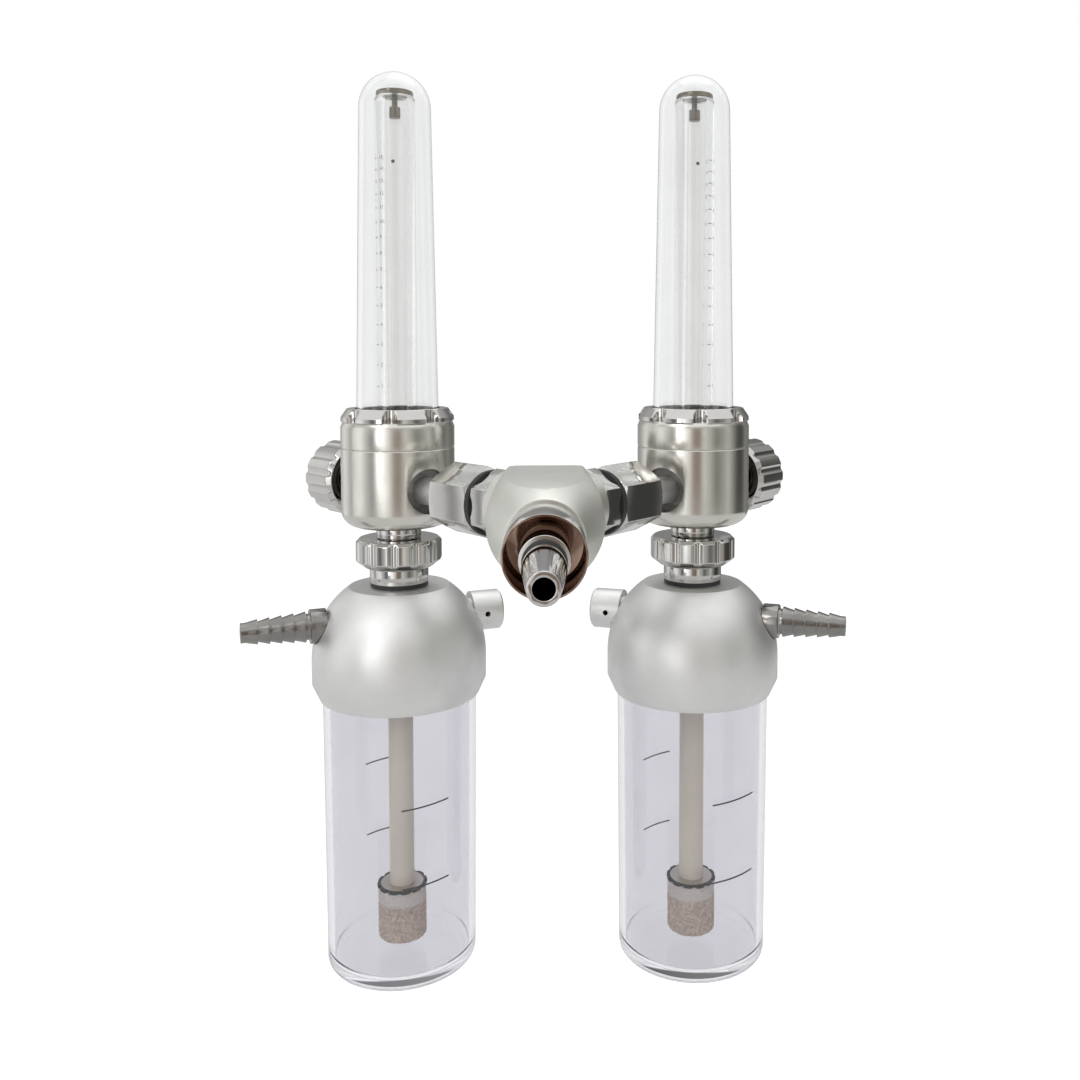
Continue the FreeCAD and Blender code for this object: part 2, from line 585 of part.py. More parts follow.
def build_valve(name, side):
    # Valve body with its drillings, and the bonnet, needle, knob and screw on the arm's line.
    yaw = heading(side)
    body = keep(turned(f"{name}_valve_body", [
        ("0", "-body_bottom"),
        ("body_radius - body_round", "-body_bottom", "body_round"),
        ("body_radius", "body_round - body_bottom"),
        ("body_radius", "line_height - line_depth"),
        ("body_radius - line_depth", "line_height"),
        ("body_radius", "line_height + line_depth"),
        ("body_radius", "body_top - top_chamfer"),
        (f"{RING_RADIUS} - 2 * line_depth", "body_top"),
        (RING_SKIRT, "body_top"),
        (RING_SKIRT, GASKET_FLOOR),
        ("tube_radius + seat_clear", GASKET_FLOOR),
        ("tube_radius + seat_clear", "tube_foot"),
        ("0", "tube_foot"),
    ]))
    turn(body, "inlet", [
        ("-body_radius - 1", "0"),
        ("-body_radius - 1", "spot_radius"),
        (f"-{SPOT_REACH}", "spot_radius"),
        (f"-{SPOT_REACH}", "stub_radius"),
        ("-stub_reach", "stub_radius"),
        ("-stub_reach", "gas_radius"),
        ("-inlet_end", "gas_radius"),
        ("-inlet_end", "0"),
    ], "Groove", "H_Axis")
    turn(body, "valve", [
        ("body_radius + 1", "0"),
        ("body_radius + 1", "bonnet_spot"),
        (SPOT_REACH, "bonnet_spot"),
        (SPOT_REACH, "bonnet_thread"),
        ("bonnet_reach", "bonnet_thread"),
        ("bonnet_reach", "chamber_radius"),
        ("chamber_reach", "chamber_radius"),
        ("chamber_reach", "seat_radius"),
        ("0", "seat_radius"),
        ("0", "0"),
    ], "Groove", "H_Axis")
    turn(body, "outlet", [
        ("0", "-body_bottom - 1"),
        ("spigot_thread", "-body_bottom - 1"),
        ("spigot_thread", "spigot_rise - body_bottom"),
        ("outlet_radius", "spigot_rise - body_bottom"),
        ("outlet_radius", "0"),
        ("0", "0"),
    ], "Groove")
    drill(body, "feed", "-feed_offset", "feed_drill", "tube_foot + 1")
    drill(body, "return", "return_offset", "return_drill", f"{GASKET_FLOOR} + 1")
    on_unit(body, side, yaw=yaw)

    bonnet = keep(turned(f"{name}_valve_bonnet", [
        ("spindle_radius + thread_gap", "bonnet_reach"),
        ("bonnet_thread", "bonnet_reach"),
        ("bonnet_thread", SPOT_REACH),
        ("bonnet_radius", SPOT_REACH),
        ("bonnet_radius", "flange_reach"),
        ("gland_radius", "flange_reach"),
        ("gland_radius", "gland_reach"),
        ("spindle_radius + thread_gap", "gland_reach"),
    ]))
    on_unit(bonnet, side, yaw=yaw, pitch="90")

    spindle = keep(turned(f"{name}_needle_spindle", [
        ("0", "chamber_reach - seat_radius"),
        ("needle_tip", "chamber_reach - seat_radius"),
        ("spindle_radius", "chamber_reach - seat_radius + needle_length"),
        ("spindle_radius", "spindle_end"),
        ("screw_shank", "spindle_end"),
        ("screw_shank", "spindle_end - screw_bury"),
        ("0", "spindle_end - screw_bury"),
    ]))
    on_unit(spindle, side, yaw=yaw, pitch="90")

    knob = keep(turned(f"{name}_control_knob", [
        ("spindle_radius", KNOB_FLOOR),
        ("knob_recess", KNOB_FLOOR),
        ("knob_recess", "knob_start"),
        ("knob_radius - knob_chamfer", "knob_start"),
        ("knob_radius", "knob_start + knob_chamfer"),
        ("knob_radius", "knob_end - knob_chamfer"),
        ("knob_radius - knob_chamfer", "knob_end"),
        ("screw_radius + part_gap", "knob_end"),
        ("screw_radius + part_gap", "knob_end - screw_depth"),
        ("screw_shank", "knob_end - screw_depth"),
        ("screw_shank", "spindle_end"),
        ("spindle_radius", "spindle_end"),
    ]))
    flute = drill(knob, "flute", "flute_circle", "flute_radius", "knob_end + 1")
    repeat(knob, flute, KNOB_FLUTES)
    on_unit(knob, side, yaw=yaw, pitch="90")

    screw = keep(turned(f"{name}_knob_screw", [
        ("0", "spindle_end - screw_bury"),
        ("screw_shank", "spindle_end - screw_bury"),
        ("screw_shank", "knob_end - screw_depth"),
        ("screw_radius", "knob_end - screw_depth"),
        ("screw_radius", "knob_end - screw_sink"),
        ("0", "knob_end - screw_sink"),
    ]))
    on_unit(screw, side, yaw=yaw, pitch="90")


def build_tube(name, side):
    # Tapered flow tube with its ball, stop and disc, under the domed cover and its ring.
    tube = keep(turned(f"{name}_flow_tube", [
        ("tube_radius - foot_wall", "tube_foot"),
        ("tube_radius", "tube_foot"),
        ("tube_radius", "tube_top"),
        ("bore_top", "tube_top"),
        ("bore_bottom", "ball_seat"),
        ("tube_entry", "ball_seat"),
        ("tube_entry", "tube_foot + foot_recess"),
        ("tube_radius - foot_wall", "tube_foot + foot_recess"),
    ]))
    on_unit(tube, side)

    ball = keep(doc.addObject("Part::Sphere", f"{name}_float_ball"))
    ball.setExpression("Radius", bound("ball_radius"))
    on_unit(ball, side, BALL_CENTRE)

    stop = keep(turned(f"{name}_float_stop", [
        ("0", "-stop_drop - stop_length"),
        ("stop_radius", "-stop_drop - stop_length"),
        ("stop_radius", "-stop_drop"),
        ("stem_radius", "-stop_drop"),
        ("stem_radius", "disc_width"),
        ("stop_radius", "disc_width"),
        ("stop_radius", "disc_width + stem_radius"),
        ("0", "disc_width + stem_radius"),
    ]))
    on_unit(stop, side, "tube_top")

    disc = keep(turned(f"{name}_tube_disc", [
        ("stem_radius", "0"),
        ("disc_radius", "0"),
        ("disc_radius", "disc_width"),
        ("stem_radius", "disc_width"),
    ]))
    vent = drill(disc, "vent", "vent_circle", "vent_radius", "disc_width + 1")
    repeat(disc, vent, VENT_HOLES)
    on_unit(disc, side, "tube_top")

    cover = keep(turned(f"{name}_outer_cover", [
        (FLANGE_RADIUS, "flange_bottom"),
        (FLANGE_RADIUS, FLANGE_TOP),
        ("cover_base", FLANGE_TOP),
        ("dome_radius", "cover_top - dome_radius", "dome_radius"),
        ("0", "cover_top"),
        ("0", "cover_top - cover_wall", "cover_wall - dome_radius"),
        ("dome_radius - cover_wall", "cover_top - dome_radius"),
        ("cover_base - cover_wall", "flange_bottom"),
    ]))
    on_unit(cover, side)

    ring = keep(turned(f"{name}_cover_ring", [
        ("cover_base + part_gap", FLANGE_TOP),
        (RING_SKIRT, FLANGE_TOP),
        (RING_SKIRT, "body_top"),
        (RING_RADIUS, "body_top"),
        (RING_RADIUS, "body_top + ring_band"),
        (f"{RING_RADIUS} - ring_slope", RING_TOP),
        ("cover_base + part_gap", RING_TOP),
    ]))
    notch = drill(ring, "notch", RING_RADIUS, "notch_radius", "ring_height + 1", lift="body_top")
    repeat(ring, notch, NOTCHES)
    on_unit(ring, side, yaw="-90")


def build_coupling(name, side):
    # Outlet spigot of the valve body, the coupling nut, and the stem that it pulls up.
    spigot = keep(turned(f"{name}_outlet_spigot", [
        ("gas_radius", "spigot_rise - body_bottom"),
        ("spigot_thread", "spigot_rise - body_bottom"),
        ("spigot_thread", "-body_bottom"),
        ("neck_radius", "-body_bottom"),
        ("neck_radius", "part_gap - coupling_top"),
        ("coupling_thread", "part_gap - coupling_top"),
        ("coupling_thread", "-spigot_end"),
        ("gas_radius", "-spigot_end"),
    ]))
    on_unit(spigot, side)

    nut = keep(turned(f"{name}_coupling_nut", [
        ("stem_neck + part_gap", "0"),
        ("coupling_radius - coupling_taper", "0"),
        ("coupling_radius", "coupling_slope"),
        ("coupling_radius", "coupling_bottom - coupling_top - coupling_chamfer"),
        ("coupling_radius - coupling_chamfer", "coupling_bottom - coupling_top"),
        ("coupling_thread + thread_gap", "coupling_bottom - coupling_top"),
        ("coupling_thread + thread_gap", "lip_width"),
        ("stem_neck + part_gap", "lip_width"),
    ]))
    flute = drill(nut, "flute", "coupling_circle", "coupling_flute", "coupling_bottom")
    repeat(nut, flute, COUPLING_FLUTES)
    on_unit(nut, side, "-coupling_bottom")

    stem = keep(turned(f"{name}_inlet_stem", [
        ("gas_radius", f"-{HEAD_TOP}"),
        ("stem_head", f"-{HEAD_TOP}"),
        ("stem_head", f"-{HEAD_TOP} - head_width"),
        ("stem_neck", f"-{HEAD_TOP} - head_width"),
        ("stem_neck", f"-{STEM_TOP}"),
        ("stem_collar", f"-{STEM_TOP}"),
        ("stem_collar", f"-{STEM_TOP} - collar_height"),
        ("stem_neck", f"-{STEM_TOP} - collar_height"),
        ("stem_neck", "-stem_bottom"),
        ("pipe_radius", "-stem_bottom"),
        ("pipe_radius", "socket_depth - stem_bottom"),
        ("gas_radius", "socket_depth - stem_bottom"),
    ]))
    on_unit(stem, side)


def below_port(drop):
    return f"(port_drop - {drop})"


def barb_heading(side):
    return "-port_swing" if side > 0 else "(180 + port_swing)"


def build_bottle(name, side):
    # Domed cap, clear bottle, and the bubbler tube with its diffuser.
    inner = f"sqrt({INNER_DOME} ^ 2 - cap_bore ^ 2)"
    plate = f"({CAP_TOP} + cap_plate)"
    mouth = "bottle_radius + part_gap"
    cap = keep(turned(f"{name}_bottle_cap", [
        ("stem_neck", below_port(CAP_TOP)),
        (f"sqrt(cap_radius ^ 2 - (cap_shoulder - {CAP_TOP}) ^ 2)", below_port(CAP_TOP), "-cap_radius"),
        ("cap_radius", below_port("cap_shoulder")),
        ("cap_radius", below_port("cap_bottom + rim_slope")),
        ("cap_radius - rim_chamfer", below_port("cap_bottom")),
        (mouth, below_port("cap_bottom")),
        (mouth, below_port(GASKET_TOP)),
        ("cap_bore", below_port(GASKET_TOP)),
        ("cap_bore", f"{below_port('cap_shoulder')} + {inner}", INNER_DOME),
        (f"sqrt({INNER_DOME} ^ 2 - (cap_shoulder - {plate}) ^ 2)", below_port(plate)),
        ("stem_neck", below_port(plate)),
    ]))
    for port, way, seat in (("barb", 1, "barb_root"), ("relief", -1, "relief_radius")):
        turn(cap, port + "_port", [
            (f"{way} * (cap_radius + 1)", "0"),
            (f"{way} * (cap_radius + 1)", f"{seat} + part_gap"),
            (f"{way} * port_floor", f"{seat} + part_gap"),
            (f"{way} * port_floor", "port_thread"),
            (f"{way} * (port_inner - 1)", "port_thread"),
            (f"{way} * (port_inner - 1)", "0"),
        ], "Groove", "H_Axis")
    on_unit(cap, side, "-port_drop", barb_heading(side))

    inside = "(bottle_base - bottle_wall)"
    bottle = keep(turned(f"{name}_bottle", [
        ("bottle_radius", "-bottle_mouth"),
        ("bottle_base", "bottle_round - bottle_drop", "-bottle_round"),
        ("bottle_base - bottle_round", "-bottle_drop"),
        ("0", "-bottle_drop"),
        ("0", "bottle_floor - bottle_drop"),
        (f"{inside} - bottle_round", "bottle_floor - bottle_drop", "bottle_round"),
        (inside, "bottle_floor + bottle_round - bottle_drop"),
        ("bottle_radius - bottle_wall", "-bottle_mouth"),
    ]))
    on_unit(bottle, side)

    pipe = keep(turned(f"{name}_bubbler_tube", [
        ("pipe_bore", "socket_depth - stem_bottom"),
        ("pipe_radius", "socket_depth - stem_bottom"),
        ("pipe_radius", "-pipe_bottom"),
        ("pipe_bore", "-pipe_bottom"),
    ]))
    on_unit(pipe, side)

    diffuser = keep(turned(f"{name}_diffuser", [
        ("pipe_radius", "-diffuser_top"),
        ("diffuser_radius - diffuser_edge", "-diffuser_top", "-diffuser_edge"),
        ("diffuser_radius", "-diffuser_top - diffuser_edge"),
        ("diffuser_radius", "diffuser_edge - diffuser_bottom", "-diffuser_edge"),
        ("diffuser_radius - diffuser_edge", "-diffuser_bottom"),
        ("0", "-diffuser_bottom"),
        ("0", "-pipe_bottom"),
        ("pipe_radius", "-pipe_bottom"),
    ]))
    on_unit(diffuser, side)


def build_ports(name, side):
    # Hose barb, and the relief valve opposite it with its disc and spring.
    yaw = barb_heading(side)
    outline = [
        ("barb_bore", "port_inner"),
        ("port_thread", "port_inner"),
        ("port_thread", "port_floor"),
        ("barb_root", "port_floor"),
        ("barb_root", "barb_shoulder"),
        ("barb_first - barb_step", "barb_shoulder"),
    ]
    start = "(barb_shoulder + barb_neck)"
    pitch = f"((barb_tip - barb_land - {start}) / {BARB_RIDGES})"
    outline.append(("barb_first - barb_step", start))
    for ridge in range(BARB_RIDGES):
        crest = f"(barb_first + (barb_last - barb_first) * {ridge} / {BARB_RIDGES - 1})"
        after = f"(barb_first + (barb_last - barb_first) * {min(ridge + 1, BARB_RIDGES - 1)} / {BARB_RIDGES - 1})"
        outline.append((crest, f"{start} + {ridge} * {pitch}"))
        outline.append((f"{after} - barb_step", f"{start} + {ridge + 1} * {pitch}"))
    outline.append(("barb_last - barb_step", "barb_tip"))
    outline.append(("barb_bore", "barb_tip"))
    barb = keep(turned(f"{name}_hose_barb", outline))
    on_unit(barb, side, "-port_drop", yaw, "90")

    relief = keep(turned(f"{name}_relief_cap", [
        ("relief_way", "port_inner"),
        ("port_thread", "port_inner"),
        ("port_thread", "port_floor"),
        ("relief_radius", "port_floor"),
        ("relief_radius", "relief_end - relief_edge"),
        ("relief_radius - relief_edge", "relief_end"),
        ("0", "relief_end"),
        ("0", "relief_end - relief_wall"),
        ("relief_bore", "relief_end - relief_wall"),
        ("relief_bore", "relief_seat"),
        ("relief_way", "relief_seat"),
    ]))
    vents = drill(relief, "vents", "0", "relief_vent", "0", "XZ_Plane", "relief_end - vent_inset", both=True)
    repeat(relief, vents, 2, "180")
    on_unit(relief, side, "-port_drop", f"180 + {yaw}", "90")

    poppet = keep(turned(f"{name}_relief_poppet", [
        ("0", POPPET_BASE),
        ("poppet_radius", POPPET_BASE),
        ("poppet_radius", POPPET_TOP),
        ("poppet_stem", POPPET_TOP),
        ("poppet_stem", f"{POPPET_TOP} + poppet_guide"),
        ("0", f"{POPPET_TOP} + poppet_guide"),
    ]))
    on_unit(poppet, side, "-port_drop", f"180 + {yaw}", "90")

    helix = doc.addObject("Part::Helix", f"{name}_spring_line")
    helix.setExpression("Radius", bound("coil_radius"))
    helix.setExpression("Height", bound(f"{COIL_END} - {COIL_START}"))
    helix.setExpression("Pitch", bound(f"({COIL_END} - {COIL_START}) / spring_turns"))
    place(helix, up=COIL_START)
    wire = doc.addObject("Part::Circle", f"{name}_spring_wire")
    wire.setExpression("Radius", bound("wire_radius"))
    wire.setExpression("Placement", "create(<<placement>>; create(<<vector>>; "
                       f"{bound('coil_radius')}; 0; {bound(COIL_START)}); create(<<rotation>>; 0; 0; 90))")
    spring = keep(doc.addObject("Part::Sweep", f"{name}_relief_spring"))
    spring.Sections = [wire]
    spring.Spine = (helix, [])
    spring.Solid = True
    spring.Frenet = True
    on_unit(spring, side, "-port_drop", f"180 + {yaw}", "90")


def seal_pair(label, inner, outer, low, high, up="0"):
    # The same flat ring on both units, as one group.
    rings = []
    for name, side in SIDES.items():
        ring = turned(f"{name}_{label[:-1]}", [(inner, low), (outer, low), (outer, high), (inner, high)])
        on_unit(ring, side, up)
        rings.append(ring)
    return keep(pair(label, rings))


for unit_name, unit_side in SIDES.items():
    build_arm(unit_name, unit_side)
    build_valve(unit_name, unit_side)
    build_tube(unit_name, unit_side)
    build_coupling(unit_name, unit_side)
    build_bottle(unit_name, unit_side)
    build_ports(unit_name, unit_side)

seal_pair("cover_seals", "cover_base - cover_wall", FLANGE_RADIUS, GASKET_FLOOR, "flange_bottom")
seal_pair("tube_seals", "tube_radius", "tube_radius + seat_clear", "tube_foot", "tube_foot + seal_height")
seal_pair("stem_seals", "stem_neck", "stem_seal_radius", f"-{CAP_TOP}", f"stem_seal - {CAP_TOP}")
seal_pair("cap_gaskets", "cap_bore", "bottle_radius", f"-{GASKET_TOP} - cap_gasket", f"-{GASKET_TOP}")
union_rings = []
for unit_name, unit_side in SIDES.items():
    union_ring = turned(f"{unit_name}_union_seal", [
        ("male_radius", SEAL_REACH),
        ("washer_radius", SEAL_REACH),
        ("washer_radius", NUT_REACH),
        ("male_radius", NUT_REACH),
    ])
    on_block(union_ring, heading(unit_side))
    union_rings.append(union_ring)
keep(pair("union_seals", union_rings))

# Toothed clips that hold the diffusers on their pipes.
clips = []
for unit_name, unit_side in SIDES.items():
    clip = turned(f"{unit_name}_diffuser_clip", [
        ("pipe_radius", "0"),
        ("diffuser_radius + clip_lip", "0"),
        ("diffuser_radius + clip_lip", "clip_width"),
        ("pipe_radius", "clip_width"),
    ])
    clip_gap = drill(clip, "notch", "diffuser_radius + clip_lip", "clip_notch", "clip_width + 1")
    repeat(clip, clip_gap, CLIP_TEETH)
    on_unit(clip, unit_side, "-diffuser_top")
    clips.append(clip)
keep(pair("diffuser_clips", clips))

doc.recompute()

faults = [item.Name for item in doc.Objects if "Invalid" in item.State or "Error" in item.State]
for part in parts:
    if part.Shape.isNull() or not part.Shape.isValid() or not part.Shape.Solids:
        faults.append(part.Label)
if faults:
    raise RuntimeError("failed pieces: " + ", ".join(faults))

os.makedirs("parts", exist_ok=True)
for part in parts:
    part.Shape.exportStep(f"parts/{part.Label}.step")
print(len(parts), "pieces,", sum(len(part.Shape.Solids) for part in parts), "solids")
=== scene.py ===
import bpy
import bmesh
import json
import math
from mathutils import Matrix, Vector


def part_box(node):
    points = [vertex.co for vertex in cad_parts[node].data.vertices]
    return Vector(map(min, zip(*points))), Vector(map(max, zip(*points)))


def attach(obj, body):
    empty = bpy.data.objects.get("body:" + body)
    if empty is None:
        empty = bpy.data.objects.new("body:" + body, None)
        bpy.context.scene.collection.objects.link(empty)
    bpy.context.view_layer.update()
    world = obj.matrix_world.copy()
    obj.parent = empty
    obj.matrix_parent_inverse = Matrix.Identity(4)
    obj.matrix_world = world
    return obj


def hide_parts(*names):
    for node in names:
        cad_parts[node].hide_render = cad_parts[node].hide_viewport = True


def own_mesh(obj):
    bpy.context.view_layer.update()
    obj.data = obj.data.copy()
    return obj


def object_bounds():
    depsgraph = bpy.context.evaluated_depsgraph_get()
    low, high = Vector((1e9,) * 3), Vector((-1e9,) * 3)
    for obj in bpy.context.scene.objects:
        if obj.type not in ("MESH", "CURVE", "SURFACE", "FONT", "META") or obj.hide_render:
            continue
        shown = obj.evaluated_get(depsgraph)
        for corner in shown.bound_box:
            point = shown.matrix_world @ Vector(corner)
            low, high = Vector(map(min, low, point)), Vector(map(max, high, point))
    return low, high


# Twin oxygen flowmeter. Each piece is drawn in millimetres in its own upright frame,
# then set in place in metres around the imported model.
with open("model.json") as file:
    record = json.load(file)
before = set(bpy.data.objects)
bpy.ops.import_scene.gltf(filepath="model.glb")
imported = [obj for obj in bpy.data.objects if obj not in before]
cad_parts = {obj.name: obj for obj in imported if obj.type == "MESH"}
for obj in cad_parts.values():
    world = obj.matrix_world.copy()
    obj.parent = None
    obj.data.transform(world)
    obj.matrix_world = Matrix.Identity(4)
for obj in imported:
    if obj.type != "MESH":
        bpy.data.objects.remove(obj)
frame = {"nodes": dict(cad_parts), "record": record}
cadBox = [list(corner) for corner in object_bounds()]
print("frame loaded:", len(frame["nodes"]), "nodes")

sides = {"left": -1, "right": 1}
layout = {
    "millimetre": 0.001,
    "blockY": 81.0,        # centre of the manifold block, behind the probe land
    "portDrop": 48.7,      # barb and relief valve below the arm axis
    "portSwing": 20.0,     # their turn towards the front, degrees
}


def unitCentre(side):
    low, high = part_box(side + "_bottle")
    middle = (low + high) / 2 / layout["millimetre"]
    return Vector((middle.x, middle.y, 0))


def armAngle(side):
    centre = unitCentre(side)
    return math.atan2(centre.y - layout["blockY"], centre.x)


def uprightAt(side, turn=0.0):
    return Matrix.Translation(unitCentre(side)) @ Matrix.Rotation(turn, 4, "Z")


def lyingAlong(origin, angle):
    # the piece's own Z axis along a level heading
    lie = Matrix.Rotation(angle, 4, "Z") @ Matrix.Rotation(math.pi / 2, 4, "Y")
    return Matrix.Translation(origin) @ lie


def alongArm(side):
    return lyingAlong(unitCentre(side), armAngle(side))


# camera, floor, world and lamps
cameraSet = {
    "place": (0.001372, -0.239217, 0.050263),   # metres, in front of the probe
    "lens": 35.1,
    "sensor": 36.0,
    "nearest": 0.01,
    "downDegrees": 3.0,
    "turnDegrees": -2.5,
    "shiftX": -0.0518,
    "shiftY": -0.1265,
}


def makeCamera():
    data = bpy.data.cameras.new("shotCamera")
    data.lens = cameraSet["lens"]
    data.sensor_width = cameraSet["sensor"]
    data.shift_x = cameraSet["shiftX"]
    data.shift_y = cameraSet["shiftY"]
    data.clip_start = cameraSet["nearest"]
    cam = bpy.data.objects.new("shotCamera", data)
    cam.location = cameraSet["place"]
    tilt = math.radians(90 - cameraSet["downDegrees"])
    cam.rotation_euler = (tilt, 0, math.radians(cameraSet["turnDegrees"]))
    bpy.context.scene.collection.objects.link(cam)
    bpy.context.scene.camera = cam


def addNode(tree, kind, **settings):
    node = tree.nodes.new(kind)
    for name, value in settings.items():
        setattr(node, name, value)
    return node


def linkNodes(tree, source, target):
    tree.links.new(source, target)


def mathNode(tree, operation, *values):
    # one step of arithmetic on numbers or sockets, for a shader or a geometry tree
    node = addNode(tree, "ShaderNodeMath", operation=operation)
    for socket, value in zip(node.inputs, values):
        if isinstance(value, (int, float)):
            socket.default_value = value
        else:
            linkNodes(tree, value, socket)
    return node.outputs[0]


def reachFrom(tree, across, along):
    # distance from an axis, given the two coordinates square to it
    squares = [mathNode(tree, "MULTIPLY", value, value) for value in (across, along)]
    return mathNode(tree, "SQRT", mathNode(tree, "ADD", *squares))


def objectPlace(tree):
    place = addNode(tree, "ShaderNodeTexCoord")
    split = addNode(tree, "ShaderNodeSeparateXYZ")
    linkNodes(tree, place.outputs["Object"], split.inputs[0])
    return split.outputs


def seenDirectly(tree):
    # 1 for the camera's own rays and for what metal and clear plastic show of the studio
    path = addNode(tree, "ShaderNodeLightPath")
    seen = path.outputs["Is Camera Ray"]
    for name in ("Is Glossy Ray", "Is Transmission Ray"):
        seen = mathNode(tree, "MAXIMUM", seen, path.outputs[name])
    return seen


worldSet = {"seen": 1.0, "onObject": 0.66}


def makeWorld():
    world = bpy.data.worlds.new("studio")
    bpy.context.scene.world = world
    world.use_nodes = True
    tree = world.node_tree
    background = tree.nodes["Background"]
    background.inputs["Color"].default_value = (1, 1, 1, 1)
    strength = addNode(tree, "ShaderNodeMapRange")
    strength.inputs["To Min"].default_value = worldSet["onObject"]
    strength.inputs["To Max"].default_value = worldSet["seen"]
    linkNodes(tree, seenDirectly(tree), strength.inputs["Value"])
    linkNodes(tree, strength.outputs["Result"], background.inputs["Strength"])


floorSet = {
    "radius": 3.0, "segments": 96, "drop": 0.07, "colour": (0.92, 0.92, 0.92, 1), "roughness": 0.9,
    "glow": 0.42,
}


def makeFloor():
    s = floorSet
    mesh = bpy.data.meshes.new("studioFloor")
    builder = bmesh.new()
    bmesh.ops.create_circle(builder, cap_ends=True, radius=s["radius"], segments=s["segments"])
    builder.to_mesh(mesh)
    builder.free()
    floor = bpy.data.objects.new("studioFloor", mesh)
    floor.location.z = cadBox[0][2] - s["drop"]
    bpy.context.scene.collection.objects.link(floor)
    material = bpy.data.materials.new("paleFloor")
    material.use_nodes = True
    tree = material.node_tree
    shader = tree.nodes["Principled BSDF"]
    shader.inputs["Base Color"].default_value = s["colour"]
    shader.inputs["Roughness"].default_value = s["roughness"]
    shader.inputs["Emission Color"].default_value = (1, 1, 1, 1)
    glow = mathNode(tree, "MULTIPLY", seenDirectly(tree), s["glow"])
    linkNodes(tree, glow, shader.inputs["Emission Strength"])
    mesh.materials.append(material)


# round studio wall and table that only the metal sees, brightest where the soft boxes stand
roomSet = {
    "middle": 0.08, "radius": 0.95, "bottom": -0.243, "top": 0.70, "segments": 96,
    "strength": 1.5, "overhead": 0.34, "table": 0.66, "fadeLow": 0.26, "fadeHigh": 0.62,
}
# heading from straight in front, degrees to the right, and the tone there: a grey or a colour
roomTones = [
    (-180, 0.20),
    (-150, 0.28),
    (-124, 0.62),
    (-112, 0.48),
    (-103, 0.26),
    (-92, 0.62),
    (-77, 0.74),
    (-61, 0.38),
    (-48, 0.10),
    (-38, 0.34),
    (-25, 1.00),
    (-14, (0.62, 0.61, 0.60)),
    (-3, (0.20, 0.16, 0.135)),
    (9, (0.17, 0.13, 0.11)),
    (19, (0.52, 0.51, 0.49)),
    (31, (0.34, 0.34, 0.32)),
    (46, (0.12, 0.12, 0.11)),
    (60, (0.22, 0.22, 0.21)),
    (74, (0.40, 0.40, 0.38)),
    (87, (0.16, 0.16, 0.15)),
    (98, 0.04),
    (112, 0.04),
    (128, (0.17, 0.17, 0.16)),
    (152, 0.10),
    (180, 0.20),
]


def toneColour(tone):
    return (*tone, 1) if isinstance(tone, tuple) else (tone, tone, tone, 1)


def startGlow(name, strength):
    # a material that only gives light
    material = bpy.data.materials.new(name)
    material.use_nodes = True
    tree = material.node_tree
    tree.nodes.remove(tree.nodes["Principled BSDF"])
    glow = addNode(tree, "ShaderNodeEmission")
    glow.inputs["Strength"].default_value = strength
    linkNodes(tree, glow.outputs[0], tree.nodes["Material Output"].inputs["Surface"])
    return material, tree, glow


def wallMaterial():
    s = roomSet
    material, tree, glow = startGlow("studioRoom", s["strength"])
    x, y, z = objectPlace(tree)
    heading = mathNode(tree, "ARCTAN2", x, mathNode(tree, "SUBTRACT", s["middle"], y))
    share = addNode(tree, "ShaderNodeMapRange")
    share.inputs["From Min"].default_value = -math.pi
    share.inputs["From Max"].default_value = math.pi
    linkNodes(tree, heading, share.inputs["Value"])
    tones = addNode(tree, "ShaderNodeValToRGB")
    tones.color_ramp.interpolation = "EASE"
    stops = tones.color_ramp.elements
    for degrees, tone in roomTones[1:-1]:
        stops.new((degrees + 180) / 360).color = toneColour(tone)
    stops[0].color = toneColour(roomTones[0][1])
    stops[len(stops) - 1].color = toneColour(roomTones[-1][1])
    linkNodes(tree, share.outputs["Result"], tones.inputs["Fac"])
    height = addNode(tree, "ShaderNodeMapRange", interpolation_type="SMOOTHSTEP")
    height.inputs["From Min"].default_value = s["fadeLow"]
    height.inputs["From Max"].default_value = s["fadeHigh"]
    linkNodes(tree, z, height.inputs["Value"])
    blend = addNode(tree, "ShaderNodeMix", data_type="RGBA")
    blend.inputs["B"].default_value = toneColour(s["overhead"])
    linkNodes(tree, height.outputs["Result"], blend.inputs["Factor"])
    linkNodes(tree, tones.outputs["Color"], blend.inputs["A"])
    linkNodes(tree, blend.outputs["Result"], glow.inputs["Color"])
    return material


def makeRoom():
    s = roomSet
    mesh = bpy.data.meshes.new("studioRoom")
    builder = bmesh.new()
    columns = []
    for step in range(s["segments"]):
        angle = math.tau * step / s["segments"]
        x = s["radius"] * math.sin(angle)
        y = s["middle"] - s["radius"] * math.cos(angle)
        columns.append([builder.verts.new((x, y, s["bottom"])), builder.verts.new((x, y, s["top"]))])
    for here, there in zip(columns, columns[1:] + columns[:1]):
        builder.faces.new((here[0], there[0], there[1], here[1]))
    table = builder.faces.new([column[0] for column in columns])
    table.material_index = 1
    builder.to_mesh(mesh)
    builder.free()
    room = bpy.data.objects.new("studioRoom", mesh)
    bpy.context.scene.collection.objects.link(room)
    for flag in ("visible_camera", "visible_diffuse", "visible_transmission", "visible_shadow"):
        setattr(room, flag, False)
    mesh.materials.append(wallMaterial())
    mesh.materials.append(startGlow("studioTable", s["table"])[0])


# place in metres, width and height in metres, power in watts; all of them face the same point
lampAim = Vector((0, 0.12, -0.02))
softLamps = {
    "keyLamp": ((-0.75, -0.75, 0.80), (0.60, 0.60), 2.6),
    "fillLamp": ((0.95, -0.55, 0.45), (0.70, 0.70), 1.2),
    "tallLamp": ((-0.47, -0.57, 0.24), (0.13, 0.70), 0.75),
    "topLamp": ((0.10, 0.45, 1.10), (0.80, 0.80), 1.1),
}


